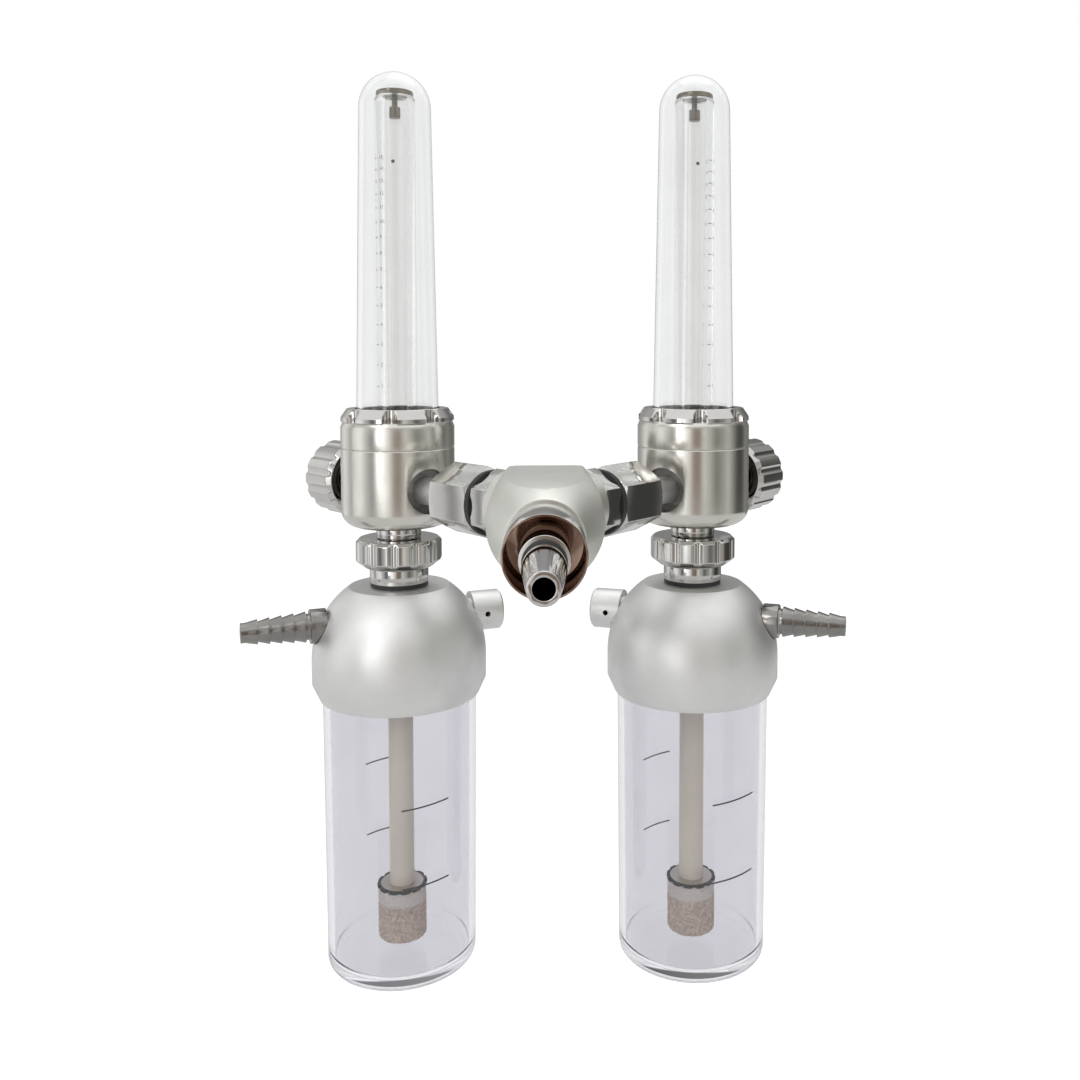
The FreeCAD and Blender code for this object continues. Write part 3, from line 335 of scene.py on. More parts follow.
def makeLamps():
    for name, (place, (wide, tall), power) in softLamps.items():
        data = bpy.data.lights.new(name, "AREA")
        data.shape = "RECTANGLE"
        data.size = wide
        data.size_y = tall
        data.energy = power
        lamp = bpy.data.objects.new(name, data)
        lamp.location = place
        lamp.rotation_euler = (lampAim - Vector(place)).to_track_quat("-Z", "Y").to_euler()
        bpy.context.scene.collection.objects.link(lamp)


makeCamera()
makeWorld()
makeFloor()
makeRoom()
makeLamps()
print("studio made")


# shared shader groups: the noise in them, and the part of its range that is used
wanderSet = {"detail": 5.0, "roughness": 0.6, "least": 0.35, "most": 0.65}
grainSet = {"detail": 2.0, "broadScale": 420.0, "broadShare": 0.3}


def newGroup(name, inputs, outputs):
    group = bpy.data.node_groups.new(name, "ShaderNodeTree")
    for label, value in inputs.items():
        socket = group.interface.new_socket(label, in_out="INPUT", socket_type="NodeSocketFloat")
        socket.default_value = value
    for label in outputs:
        group.interface.new_socket(label, in_out="OUTPUT", socket_type="NodeSocketFloat")
    return group, addNode(group, "NodeGroupInput"), addNode(group, "NodeGroupOutput")


def makeWanderGroup():
    # slow change over the surface: a mask and a roughness between two values
    s = wanderSet
    group, given, made = newGroup(
        "surfaceWander", {"Scale": 60.0, "Low": 0.2, "High": 0.3}, ["Mask", "Roughness"])
    place = addNode(group, "ShaderNodeTexCoord")
    noise = addNode(group, "ShaderNodeTexNoise")
    noise.inputs["Detail"].default_value = s["detail"]
    noise.inputs["Roughness"].default_value = s["roughness"]
    spread = addNode(group, "ShaderNodeMapRange")
    spread.inputs["From Min"].default_value = s["least"]
    spread.inputs["From Max"].default_value = s["most"]
    between = addNode(group, "ShaderNodeMapRange")
    linkNodes(group, place.outputs["Object"], noise.inputs["Vector"])
    linkNodes(group, given.outputs["Scale"], noise.inputs["Scale"])
    linkNodes(group, noise.outputs["Fac"], spread.inputs["Value"])
    linkNodes(group, spread.outputs["Result"], between.inputs["Value"])
    linkNodes(group, given.outputs["Low"], between.inputs["To Min"])
    linkNodes(group, given.outputs["High"], between.inputs["To Max"])
    linkNodes(group, spread.outputs["Result"], made.inputs["Mask"])
    linkNodes(group, between.outputs["Result"], made.inputs["Roughness"])
    return group


def makeGrainGroup():
    # fine blasted or moulded grain as a height
    s = grainSet
    group, given, made = newGroup("fineGrain", {"Scale": 4000.0}, ["Height"])
    place = addNode(group, "ShaderNodeTexCoord")
    fine = addNode(group, "ShaderNodeTexNoise")
    fine.inputs["Detail"].default_value = s["detail"]
    broad = addNode(group, "ShaderNodeTexNoise")
    broad.inputs["Scale"].default_value = s["broadScale"]
    mix = addNode(group, "ShaderNodeMix", data_type="FLOAT")
    mix.inputs["Factor"].default_value = s["broadShare"]
    linkNodes(group, place.outputs["Object"], fine.inputs["Vector"])
    linkNodes(group, place.outputs["Object"], broad.inputs["Vector"])
    linkNodes(group, given.outputs["Scale"], fine.inputs["Scale"])
    linkNodes(group, fine.outputs["Fac"], mix.inputs["A"])
    linkNodes(group, broad.outputs["Fac"], mix.inputs["B"])
    linkNodes(group, mix.outputs["Result"], made.inputs["Height"])
    return group


wander = makeWanderGroup()
grain = makeGrainGroup()


def startMaterial(name):
    material = bpy.data.materials.new(name)
    material.use_nodes = True
    return material, material.node_tree, material.node_tree.nodes["Principled BSDF"]


def useGroup(tree, group, **values):
    node = addNode(tree, "ShaderNodeGroup")
    node.node_tree = group
    for name, value in values.items():
        node.inputs[name].default_value = value
    return node


def tintBetween(tree, mask, shader, light, dark):
    mix = addNode(tree, "ShaderNodeMix", data_type="RGBA")
    mix.inputs["A"].default_value = (*light, 1)
    mix.inputs["B"].default_value = (*dark, 1)
    linkNodes(tree, mask, mix.inputs["Factor"])
    linkNodes(tree, mix.outputs["Result"], shader.inputs["Base Color"])


def grainBump(tree, shader, scale, depth):
    height = useGroup(tree, grain, Scale=scale)
    bump = addNode(tree, "ShaderNodeBump")
    bump.inputs["Strength"].default_value = 1.0
    bump.inputs["Distance"].default_value = depth
    linkNodes(tree, height.outputs["Height"], bump.inputs["Height"])
    linkNodes(tree, bump.outputs["Normal"], shader.inputs["Normal"])


# finish of each metal and solid plastic: light and dark tint, roughness range, grain scale, depth in metres
# and, for a piece with its own, the scale of the patches
plainMetal = {"grain": 3000.0, "depth": 0.000004, "metal": 1.0}
plainPatches = 70.0
finishes = {
    "satinAluminium": {"light": (0.84, 0.84, 0.83), "dark": (0.79, 0.79, 0.78), "low": 0.42, "high": 0.49,
                       "grain": 5200.0, "depth": 0.000010, "metal": 1.0},
    "creamAluminium": {"light": (0.80, 0.80, 0.755), "dark": (0.75, 0.75, 0.705), "low": 0.40, "high": 0.47,
                       "grain": 5200.0, "depth": 0.000008, "metal": 1.0},
    "satinChrome": {"light": (0.745, 0.73, 0.68), "dark": (0.685, 0.67, 0.62), "low": 0.20, "high": 0.27,
                    **plainMetal},
    "brightChrome": {"light": (0.66, 0.65, 0.63), "dark": (0.60, 0.59, 0.57), "low": 0.06, "high": 0.11,
                     "grain": 3000.0, "depth": 0.000001, "metal": 1.0},
    "cupChrome": {"light": (0.66, 0.65, 0.63), "dark": (0.60, 0.59, 0.57), "low": 0.08, "high": 0.14,
                  "grain": 3000.0, "depth": 0.000001, "metal": 1.0},
    "nickelBarb": {"light": (0.33, 0.32, 0.305), "dark": (0.26, 0.25, 0.24), "low": 0.16, "high": 0.26,
                   **plainMetal},
    "plainBrass": {"light": (0.15, 0.13, 0.095), "dark": (0.085, 0.075, 0.056), "low": 0.28, "high": 0.42,
                   **plainMetal},
    # painted shade: brass drawn near black, as the shaded gap between knob and body
    "paintedShadeBrass": {"light": (0.060, 0.052, 0.045), "dark": (0.035, 0.030, 0.027), "low": 0.30, "high": 0.45,
                  **plainMetal},
    "plainSteel": {"light": (0.50, 0.50, 0.50), "dark": (0.42, 0.42, 0.42), "low": 0.18, "high": 0.30,
                   **plainMetal},
    "darkSteel": {"light": (0.055, 0.053, 0.050), "dark": (0.030, 0.029, 0.028), "low": 0.30, "high": 0.45,
                  **plainMetal},
    "ivoryPlastic": {"light": (0.84, 0.77, 0.63), "dark": (0.78, 0.71, 0.58), "low": 0.38, "high": 0.48,
                     "grain": 2400.0, "depth": 0.000008, "metal": 0.0},
    "sinteredBeige": {"light": (0.76, 0.64, 0.53), "dark": (0.46, 0.37, 0.295), "low": 0.70, "high": 0.86,
                      "grain": 1500.0, "depth": 0.000060, "metal": 0.0, "patches": 900.0},
    "blackRubber": {"light": (0.03, 0.03, 0.032), "dark": (0.018, 0.018, 0.02), "low": 0.46, "high": 0.60,
                    "grain": 2600.0, "depth": 0.000012, "metal": 0.0},
    "blackInk": {"light": (0.050, 0.050, 0.054), "dark": (0.080, 0.080, 0.085), "low": 0.40, "high": 0.55,
                 "grain": 2600.0, "depth": 0.000004, "metal": 0.0},
}
# a second colour on part of a piece, metres: painted shade in the valve body's recesses, a painted brown
# reflection inside the cup, a lighter colour round the pipe on the clips, on top of the diffuser
tintsAndPaintedLight = {
    # painted shade: the valve body near black in its recesses and bores round each unit axis
    "satinChrome": {"recessRadius": 0.0201, "recessHeight": 0.0086, "tint": (0.17, 0.165, 0.155)},
    # painted reflection: brown inside the chrome probe cup
    "cupChrome": {"insideRadius": 0.01052, "tint": (0.36, 0.25, 0.20)},
    "darkSteel": {"recessRadius": 0.0078, "recessHeight": 0.2, "tint": (0.56, 0.52, 0.47)},
    "sinteredBeige": {"aboveHeight": -0.1531, "blend": 0.0006, "tint": (0.72, 0.67, 0.61)},
}


def addSecondTint(tree, shader, facts):
    x, y, z = objectPlace(tree)
    if "recessRadius" in facts:
        # near each unit axis, both units at once, since the left one is the right one's mirror image:
        # painted shade on the valve body, a lighter colour on the clips
        unit = unitCentre("right") * layout["millimetre"]
        across = mathNode(tree, "SUBTRACT", mathNode(tree, "ABSOLUTE", x), unit.x)
        along = mathNode(tree, "SUBTRACT", y, unit.y)
        near = mathNode(tree, "LESS_THAN", reachFrom(tree, across, along), facts["recessRadius"])
        level = mathNode(tree, "LESS_THAN", mathNode(tree, "ABSOLUTE", z), facts["recessHeight"])
        factor = mathNode(tree, "MULTIPLY", near, level)
    elif "insideRadius" in facts:
        # painted brown reflection inside the cup
        factor = mathNode(tree, "LESS_THAN", reachFrom(tree, x, z), facts["insideRadius"])
    else:
        mask = addNode(tree, "ShaderNodeMapRange")
        mask.inputs["From Min"].default_value = facts["aboveHeight"] - facts["blend"]
        mask.inputs["From Max"].default_value = facts["aboveHeight"]
        linkNodes(tree, z, mask.inputs["Value"])
        factor = mask.outputs["Result"]
    mix = addNode(tree, "ShaderNodeMix", data_type="RGBA")
    mix.inputs["B"].default_value = (*facts["tint"], 1)
    linkNodes(tree, factor, mix.inputs["Factor"])
    linkNodes(tree, shader.inputs["Base Color"].links[0].from_socket, mix.inputs["A"])
    linkNodes(tree, mix.outputs["Result"], shader.inputs["Base Color"])


def makeFinish(name):
    facts = finishes[name]
    material, tree, shader = startMaterial(name)
    shader.inputs["Metallic"].default_value = facts["metal"]
    patches = facts.get("patches", plainPatches)
    change = useGroup(tree, wander, Scale=patches, Low=facts["low"], High=facts["high"])
    linkNodes(tree, change.outputs["Roughness"], shader.inputs["Roughness"])
    tintBetween(tree, change.outputs["Mask"], shader, facts["light"], facts["dark"])
    if name in tintsAndPaintedLight:
        addSecondTint(tree, shader, tintsAndPaintedLight[name])
    grainBump(tree, shader, facts["grain"], facts["depth"])
    return material


# clear plastics: light and dark tint, roughness range and index; the rest is shared
clears = {
    "clearCover": {"light": (0.93, 0.935, 0.935), "dark": (0.905, 0.91, 0.91), "low": 0.0, "high": 0.02,
                   "index": 1.49},
    "clearTube": {"light": (0.965, 0.965, 0.955), "dark": (0.94, 0.94, 0.93), "low": 0.0, "high": 0.03,
                  "index": 1.49},
    "clearBottle": {"light": (0.745, 0.742, 0.772), "dark": (0.720, 0.717, 0.747), "low": 0.0, "high": 0.03,
                    "index": 1.50},
}
clearSet = {"patches": 40.0, "lastTurn": 5.5}


def makeClear(name):
    facts = clears[name]
    material, tree, shader = startMaterial(name)
    shader.inputs["Transmission Weight"].default_value = 1.0
    shader.inputs["IOR"].default_value = facts["index"]
    change = useGroup(tree, wander, Scale=clearSet["patches"], Low=facts["low"], High=facts["high"])
    linkNodes(tree, change.outputs["Roughness"], shader.inputs["Roughness"])
    tintBetween(tree, change.outputs["Mask"], shader, facts["light"], facts["dark"])
    # light passes straight on in shadows, and after many turns inside the wall
    path = addNode(tree, "ShaderNodeLightPath")
    late = mathNode(tree, "GREATER_THAN", path.outputs["Ray Depth"], clearSet["lastTurn"])
    straight = mathNode(tree, "MAXIMUM", path.outputs["Is Shadow Ray"], late)
    through = addNode(tree, "ShaderNodeBsdfTransparent")
    through.inputs["Color"].default_value = (*facts["dark"], 1)
    mix = addNode(tree, "ShaderNodeMixShader")
    linkNodes(tree, straight, mix.inputs["Fac"])
    linkNodes(tree, shader.outputs["BSDF"], mix.inputs[1])
    linkNodes(tree, through.outputs["BSDF"], mix.inputs[2])
    linkNodes(tree, mix.outputs["Shader"], tree.nodes["Material Output"].inputs["Surface"])
    return material


materials = {name: makeFinish(name) for name in finishes}
materials.update({name: makeClear(name) for name in clears})
print("materials made:", len(materials))


# turned pieces; the lead is a short straight run each side of a rounding
outlineSet = {"steps": 4, "longest": 0.45, "lead": 0.2, "leadShare": 0.04, "onAxis": 1e-5}


def roundedOutline(corners):
    # corners of (radius, height, rounding) to points
    s = outlineSet
    points = []
    for number, corner in enumerate(corners):
        here = Vector(corner[:2])
        rounding = corner[2] if len(corner) > 2 else 0.0
        before = Vector(corners[number - 1][:2]) - here
        after = Vector(corners[(number + 1) % len(corners)][:2]) - here
        if rounding <= 0 or before.length == 0 or after.length == 0:
            points.append(here)
            continue
        half = before.angle(after) / 2
        reach = min(rounding / math.tan(half), s["longest"] * before.length, s["longest"] * after.length)
        radius = reach * math.tan(half)
        start = here + before.normalized() * reach
        middle = here + (before.normalized() + after.normalized()).normalized() * radius / math.sin(half)
        arm = start - middle
        end = here + after.normalized() * reach
        sweep = arm.angle(end - middle)
        sign = 1 if arm.x * (end - middle).y - arm.y * (end - middle).x > 0 else -1
        points.append(start + before.normalized() * min(s["lead"], s["leadShare"] * before.length))
        for step in range(s["steps"] + 1):
            turn = sign * sweep * step / s["steps"]
            points.append(middle + Vector((
                arm.x * math.cos(turn) - arm.y * math.sin(turn),
                arm.x * math.sin(turn) + arm.y * math.cos(turn),
            )))
        points.append(end + after.normalized() * min(s["lead"], s["leadShare"] * after.length))
    return points


def roundPart(middle, radius, start, end, steps):
    # corners along an arc of the outline, angles in degrees from the radius axis
    corners = []
    for step in range(steps + 1):
        angle = math.radians(start + (end - start) * step / steps)
        across = max(0.0, middle[0] + radius * math.cos(angle))
        corners.append((across, middle[1] + radius * math.sin(angle)))
    return corners


def turnedMesh(name, corners, segments=128):
    points = roundedOutline(corners)
    builder = bmesh.new()
    rings = []
    for point in points:
        if point.x < outlineSet["onAxis"]:
            rings.append([builder.verts.new((0, 0, point.y))])
        else:
            rings.append([builder.verts.new((
                point.x * math.cos(math.tau * step / segments),
                point.x * math.sin(math.tau * step / segments),
                point.y,
            )) for step in range(segments)])
    for here, there in zip(rings, rings[1:] + rings[:1]):
        if len(here) == 1 and len(there) == 1:
            continue
        for step in range(segments):
            following = (step + 1) % segments
            loop = [here[step % len(here)], here[following % len(here)],
                    there[following % len(there)], there[step % len(there)]]
            builder.faces.new(list(dict.fromkeys(loop)))
    bmesh.ops.remove_doubles(builder, verts=builder.verts, dist=outlineSet["onAxis"])
    bmesh.ops.recalc_face_normals(builder, faces=builder.faces)
    mesh = bpy.data.meshes.new(name)
    builder.to_mesh(mesh)
    builder.free()
    return mesh


def smoothByAngle(mesh, degrees):
    builder = bmesh.new()
    builder.from_mesh(mesh)
    limit = math.radians(degrees)
    for face in builder.faces:
        face.smooth = True
    for edge in builder.edges:
        if len(edge.link_faces) == 2:
            edge.smooth = edge.calc_face_angle(0.0) < limit
    builder.to_mesh(mesh)
    builder.free()


def showPiece(mesh, material, body, nodes=(), place=None, sharp=38.0):
    # millimetres in the piece's own frame to metres in place, then the frame's own calls
    if place is not None:
        mesh.transform(Matrix.Scale(layout["millimetre"], 4) @ place)
    smoothByAngle(mesh, sharp)
    mesh.materials.clear()
    mesh.materials.append(materials[material])
    piece = bpy.data.objects.new(mesh.name, mesh)
    bpy.context.scene.collection.objects.link(piece)
    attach(piece, body)
    if nodes:
        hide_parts(*nodes)
    return piece


# Geometry Nodes helpers
def newTree(name, inputs):
    # inputs with their first values, whole numbers for counts; the piece and its material are always there
    tree = bpy.data.node_groups.new(name, "GeometryNodeTree")
    tree.interface.new_socket("Geometry", in_out="INPUT", socket_type="NodeSocketGeometry")
    for label, value in inputs.items():
        kind = "NodeSocketInt" if isinstance(value, int) else "NodeSocketFloat"
        socket = tree.interface.new_socket(label, in_out="INPUT", socket_type=kind)
        socket.default_value = value
    tree.interface.new_socket("Material", in_out="INPUT", socket_type="NodeSocketMaterial")
    tree.interface.new_socket("Geometry", in_out="OUTPUT", socket_type="NodeSocketGeometry")
    return tree, addNode(tree, "NodeGroupInput"), addNode(tree, "NodeGroupOutput")


def closeTree(tree, geometry, given, made):
    realise = addNode(tree, "GeometryNodeRealizeInstances")
    paint = addNode(tree, "GeometryNodeSetMaterial")
    linkNodes(tree, geometry, realise.inputs["Geometry"])
    linkNodes(tree, realise.outputs["Geometry"], paint.inputs["Geometry"])
    linkNodes(tree, given.outputs["Material"], paint.inputs["Material"])
    linkNodes(tree, paint.outputs["Geometry"], made.inputs["Geometry"])


def showSource(name, data):
    source = bpy.data.objects.new(name, data)
    bpy.context.scene.collection.objects.link(source)
    return source


def evaluatedMesh(source, name):
    # read once from the evaluated object; the object and its modifiers go again
    view = bpy.context.evaluated_depsgraph_get()
    mesh = bpy.data.meshes.new_from_object(source.evaluated_get(view))
    mesh.name = name
    source.modifiers.clear()
    bpy.data.objects.remove(source)
    return mesh


def runTree(mesh, tree, name, **values):
    source = showSource(name + "Source", mesh)
    modifier = source.modifiers.new(tree.name, "NODES")
    modifier.node_group = tree
    sockets = {item.name: item.identifier for item in tree.interface.items_tree if item.in_out == "INPUT"}
    for label, value in values.items():
        modifier[sockets[label]] = value
    return evaluatedMesh(source, name)


# a limit beyond every piece where there is no groove, and the least radius to divide by
gripSet = {"beyond": 1000.0, "leastRadius": 0.001}


def makeGripTree():
    # round grooves cut into the outside of a turned piece, all round its Z axis
    tree, given, made = newTree(
        "gripGrooves", {"Grooves": 12, "Centre": 16.0, "Radius": 2.0, "Softness": 0.2})
    position = addNode(tree, "GeometryNodeInputPosition")
    split = addNode(tree, "ShaderNodeSeparateXYZ")
    linkNodes(tree, position.outputs[0], split.inputs[0])
    x, y, z = split.outputs
    reach = reachFrom(tree, x, y)
    angle = mathNode(tree, "ARCTAN2", y, x)
    pitch = mathNode(tree, "DIVIDE", math.tau, given.outputs["Grooves"])
    half = mathNode(tree, "DIVIDE", pitch, 2.0)
    local = mathNode(tree, "WRAP", angle, half, mathNode(tree, "MULTIPLY", half, -1.0))
    centre, radius = given.outputs["Centre"], given.outputs["Radius"]
    across = mathNode(tree, "MULTIPLY", centre, mathNode(tree, "SINE", local))
    under = mathNode(tree, "SUBTRACT", mathNode(tree, "MULTIPLY", radius, radius),
                     mathNode(tree, "MULTIPLY", across, across))
    root = mathNode(tree, "SQRT", mathNode(tree, "MAXIMUM", under, 0.0))
    away = mathNode(tree, "MULTIPLY", mathNode(tree, "LESS_THAN", under, 0.0), gripSet["beyond"])
    along = mathNode(tree, "MULTIPLY", centre, mathNode(tree, "COSINE", local))
    limit = mathNode(tree, "ADD", away, mathNode(tree, "SUBTRACT", along, root))
    kept = mathNode(tree, "SMOOTH_MIN", reach, limit, given.outputs["Softness"])
    factor = mathNode(tree, "DIVIDE", kept, mathNode(tree, "MAXIMUM", reach, gripSet["leastRadius"]))
    join = addNode(tree, "ShaderNodeCombineXYZ")
    linkNodes(tree, mathNode(tree, "MULTIPLY", x, factor), join.inputs[0])
    linkNodes(tree, mathNode(tree, "MULTIPLY", y, factor), join.inputs[1])
    linkNodes(tree, z, join.inputs[2])
    move = addNode(tree, "GeometryNodeSetPosition")
    linkNodes(tree, given.outputs["Geometry"], move.inputs["Geometry"])
    linkNodes(tree, join.outputs[0], move.inputs["Position"])
    closeTree(tree, move.outputs["Geometry"], given, made)
    return tree


# points along each line, and sides of its section
marksSet = {"points": 24, "sides": 6}


def makeMarksTree():
    # curved lines one above the other round a vertical piece, each fading to a point at both ends
    tree, given, made = newTree("wrappedMarks", {
        "Marks": 2, "Start": 0.0, "Step": 5.0, "Growth": 0.0, "Radius": 10.0, "Lean": 0.0,
        "From": 0.0, "Sweep": 0.5, "Thickness": 0.2, "Taper": 0.0,
    })
    want = given.outputs
    arc = addNode(tree, "GeometryNodeCurveArc")
    arc.inputs["Resolution"].default_value = marksSet["points"]
    linkNodes(tree, want["Radius"], arc.inputs["Radius"])
    linkNodes(tree, want["From"], arc.inputs["Start Angle"])
    linkNodes(tree, want["Sweep"], arc.inputs["Sweep Angle"])
    along = addNode(tree, "GeometryNodeSplineParameter")
    twice = mathNode(tree, "MULTIPLY", along.outputs["Factor"], 2.0)
    fromMiddle = mathNode(tree, "ABSOLUTE", mathNode(tree, "SUBTRACT", twice, 1.0))
    fade = mathNode(tree, "MULTIPLY", want["Taper"], mathNode(tree, "POWER", fromMiddle, 2.0))
    thin = addNode(tree, "GeometryNodeSetCurveRadius")
    linkNodes(tree, arc.outputs["Curve"], thin.inputs["Curve"])
    linkNodes(tree, mathNode(tree, "SUBTRACT", 1.0, fade), thin.inputs["Radius"])
    section = addNode(tree, "GeometryNodeCurvePrimitiveCircle")
    section.inputs["Resolution"].default_value = marksSet["sides"]
    linkNodes(tree, mathNode(tree, "MULTIPLY", want["Thickness"], 0.5), section.inputs["Radius"])
    solid = addNode(tree, "GeometryNodeCurveToMesh")
    solid.inputs["Fill Caps"].default_value = True
    linkNodes(tree, thin.outputs["Curve"], solid.inputs["Curve"])
    linkNodes(tree, section.outputs["Curve"], solid.inputs["Profile Curve"])
    ladder = addNode(tree, "GeometryNodeMeshLine")
    linkNodes(tree, want["Marks"], ladder.inputs["Count"])
    index = addNode(tree, "GeometryNodeInputIndex").outputs[0]
    growth = mathNode(tree, "MULTIPLY", mathNode(tree, "MULTIPLY", index, index), want["Growth"])
    rise = mathNode(tree, "ADD", mathNode(tree, "MULTIPLY", index, want["Step"]), growth)
    spot = addNode(tree, "ShaderNodeCombineXYZ")
    linkNodes(tree, mathNode(tree, "ADD", want["Start"], rise), spot.inputs["Z"])
    lift = addNode(tree, "GeometryNodeSetPosition")
    linkNodes(tree, ladder.outputs["Mesh"], lift.inputs["Geometry"])
    linkNodes(tree, spot.outputs[0], lift.inputs["Position"])
    size = addNode(tree, "ShaderNodeCombineXYZ")
    wide = mathNode(tree, "ADD", 1.0, mathNode(tree, "MULTIPLY", index, want["Lean"]))
    linkNodes(tree, wide, size.inputs["X"])
    linkNodes(tree, wide, size.inputs["Y"])
    size.inputs["Z"].default_value = 1.0
    spread = addNode(tree, "GeometryNodeInstanceOnPoints")
    linkNodes(tree, lift.outputs["Geometry"], spread.inputs["Points"])
    linkNodes(tree, solid.outputs["Mesh"], spread.inputs["Instance"])
    linkNodes(tree, size.outputs[0], spread.inputs["Scale"])
    closeTree(tree, spread.outputs["Instances"], given, made)
    return tree


# range of the beads' size about the one given
beadSet = {"least": 0.55, "most": 1.15}


def makeGrainsTree():
    # small sintered beads strewn over a piece, with the piece itself
    tree, given, made = newTree("sinteredGrains", {"Density": 1.5, "Size": 0.4, "Seed": 3})
    strew = addNode(tree, "GeometryNodeDistributePointsOnFaces")
    linkNodes(tree, given.outputs["Geometry"], strew.inputs["Mesh"])
    linkNodes(tree, given.outputs["Density"], strew.inputs["Density"])
    linkNodes(tree, given.outputs["Seed"], strew.inputs["Seed"])
    bead = addNode(tree, "GeometryNodeMeshIcoSphere")
    linkNodes(tree, given.outputs["Size"], bead.inputs["Radius"])
    spread = addNode(tree, "GeometryNodeInstanceOnPoints")
    linkNodes(tree, strew.outputs["Points"], spread.inputs["Points"])
    linkNodes(tree, bead.outputs["Mesh"], spread.inputs["Instance"])
    for socket, low, high in (("Scale", beadSet["least"], beadSet["most"]), ("Rotation", 0.0, math.tau)):
        chance = addNode(tree, "FunctionNodeRandomValue", data_type="FLOAT_VECTOR")
        chance.inputs["Min"].default_value = (low, low, low)
        chance.inputs["Max"].default_value = (high, high, high)
        linkNodes(tree, given.outputs["Seed"], chance.inputs["Seed"])
        linkNodes(tree, chance.outputs["Value"], spread.inputs[socket])
    both = addNode(tree, "GeometryNodeJoinGeometry")
    linkNodes(tree, given.outputs["Geometry"], both.inputs[0])
    linkNodes(tree, spread.outputs["Instances"], both.inputs[0])
    closeTree(tree, both.outputs[0], given, made)
    return tree


gripTree = makeGripTree()
marksTree = makeMarksTree()
grainsTree = makeGrainsTree()
print("node trees made")


def growOutline(corners, longest):
    # splits long straight runs so that a groove can cut across them
    grown = []
    for number, corner in enumerate(corners):
        grown.append(corner)
        there = corners[(number + 1) % len(corners)]
        gap = Vector(there[:2]) - Vector(corner[:2])
        count = int(gap.length // longest)
        for step in range(1, count + 1):
            point = Vector(corner[:2]) + gap * step / (count + 1)
            grown.append((point.x, point.y))
    return grown


# clear cover over the flow tube
coverSet = {
    "flangeRadius": 17.5, "flangeLow": 17.0, "flangeHigh": 20.0,
    "footRadius": 14.8, "domeRadius": 12.8, "apex": 148.8, "wall": 1.9, "outerSteps": 18, "innerSteps": 16,
}


def makeCover(side):
    s = coverSet
    shoulder = s["apex"] - s["domeRadius"]
    outside = roundPart((0, shoulder), s["domeRadius"], 0, 90, s["outerSteps"])
    inside = roundPart((0, shoulder), s["domeRadius"] - s["wall"], 90, 0, s["innerSteps"])
    corners = [
        (s["flangeRadius"], s["flangeLow"], 0.3), (s["flangeRadius"], s["flangeHigh"], 0.3),
        (s["footRadius"], s["flangeHigh"], 0.8), *outside, *inside,
        (s["footRadius"] - s["wall"], s["flangeLow"], 0.3),
    ]
    mesh = turnedMesh(side + "Cover", corners)
    showPiece(mesh, "clearCover", "root", [side + "_outer_cover"], uprightAt(side))


# tapered flow tube
tubeSet = {
    "radius": 7.2, "foot": 9.0, "top": 139.8, "entry": 2.2, "seat": 21.7,
    "boreLow": 3.26, "boreHigh": 4.5, "recess": 2.0, "recessWall": 1.2,
}


def makeTube(side):
    s = tubeSet
    corners = [
        (s["radius"] - s["recessWall"], s["foot"], 0.15), (s["radius"], s["foot"], 0.3),
        (s["radius"], s["top"], 0.4), (s["boreHigh"], s["top"], 0.3), (s["boreLow"], s["seat"], 0.1),
        (s["entry"], s["seat"], 0.2), (s["entry"], s["foot"] + s["recess"], 0.1),
        (s["radius"] - s["recessWall"], s["foot"] + s["recess"], 0.1),
    ]
    mesh = turnedMesh(side + "FlowTube", corners)
    showPiece(mesh, "clearTube", "root", [side + "_flow_tube"], uprightAt(side))


# clear bottle
bottleSet = {
    "mouth": -60.3, "mouthRadius": 27.9, "baseRadius": 27.0, "under": -174.8,
    "wall": 2.4, "floor": 3.4, "edge": 3.0,
}


def makeBottle(side):
    s = bottleSet
    inner = s["baseRadius"] - s["wall"]
    corners = [
        (s["mouthRadius"], s["mouth"], 0.3), (s["baseRadius"], s["under"], s["edge"]), (0, s["under"]),
        (0, s["under"] + s["floor"]), (inner, s["under"] + s["floor"], s["edge"]),
        (s["mouthRadius"] - s["wall"], s["mouth"], 0.3),
    ]
    mesh = turnedMesh(side + "Bottle", corners)
    showPiece(mesh, "clearBottle", side + "_bottle_body", [side + "_bottle"],
              uprightAt(side))


def showGripped(name, corners, s, body, node, place):
    # a turned chrome piece with grooves all round for a hand or a spanner
    blank = turnedMesh(name + "Blank", corners, s["segments"])
    mesh = runTree(blank, gripTree, name, Grooves=s["grooves"], Centre=s["grooveCircle"],
                   Radius=s["grooveRadius"], Softness=s["softness"], Material=materials["brightChrome"])
    showPiece(mesh, "brightChrome", body, [node], place)


# chrome ring that holds the cover, with spanner notches
coverRingSet = {
    "low": 24.0, "band": 1.5, "high": 28.6, "radius": 20.3, "slope": 2.1, "skirt": 18.0, "skirtLow": 20.0,
    "inner": 15.1, "grooves": 8, "grooveRadius": 2.6, "grooveCircle": 20.3, "softness": 0.12,
    "longestRun": 0.45, "segments": 384,
}


def makeCoverRing(side):
    s = coverRingSet
    flank = growOutline([
        (s["radius"], s["low"], 0.15), (s["radius"], s["low"] + s["band"], 0.3),
        (s["radius"] - s["slope"], s["high"], 0.4), (s["inner"], s["high"], 0.2),
    ], s["longestRun"])
    corners = flank + [
        (s["inner"], s["skirtLow"], 0.1), (s["skirt"], s["skirtLow"], 0.1), (s["skirt"], s["low"], 0.1),
    ]
    place = uprightAt(side, -math.pi / 2)
    showGripped(side + "CoverRing", corners, s, "root", side + "_cover_ring", place)


# control knob, from the unit axis outwards
knobSet = {
    "start": 27.0, "end": 46.0, "radius": 14.2, "recess": 10.0, "recessFloor": 32.0, "spindle": 2.5,
    "spindleEnd": 41.0, "screwShank": 1.5, "screwRecess": 4.3, "screwFloor": 43.5, "edge": 1.6,
    "grooves": 14, "grooveRadius": 2.0, "grooveCircle": 15.4, "softness": 0.35,
    "longestRun": 2.5, "segments": 280,
}


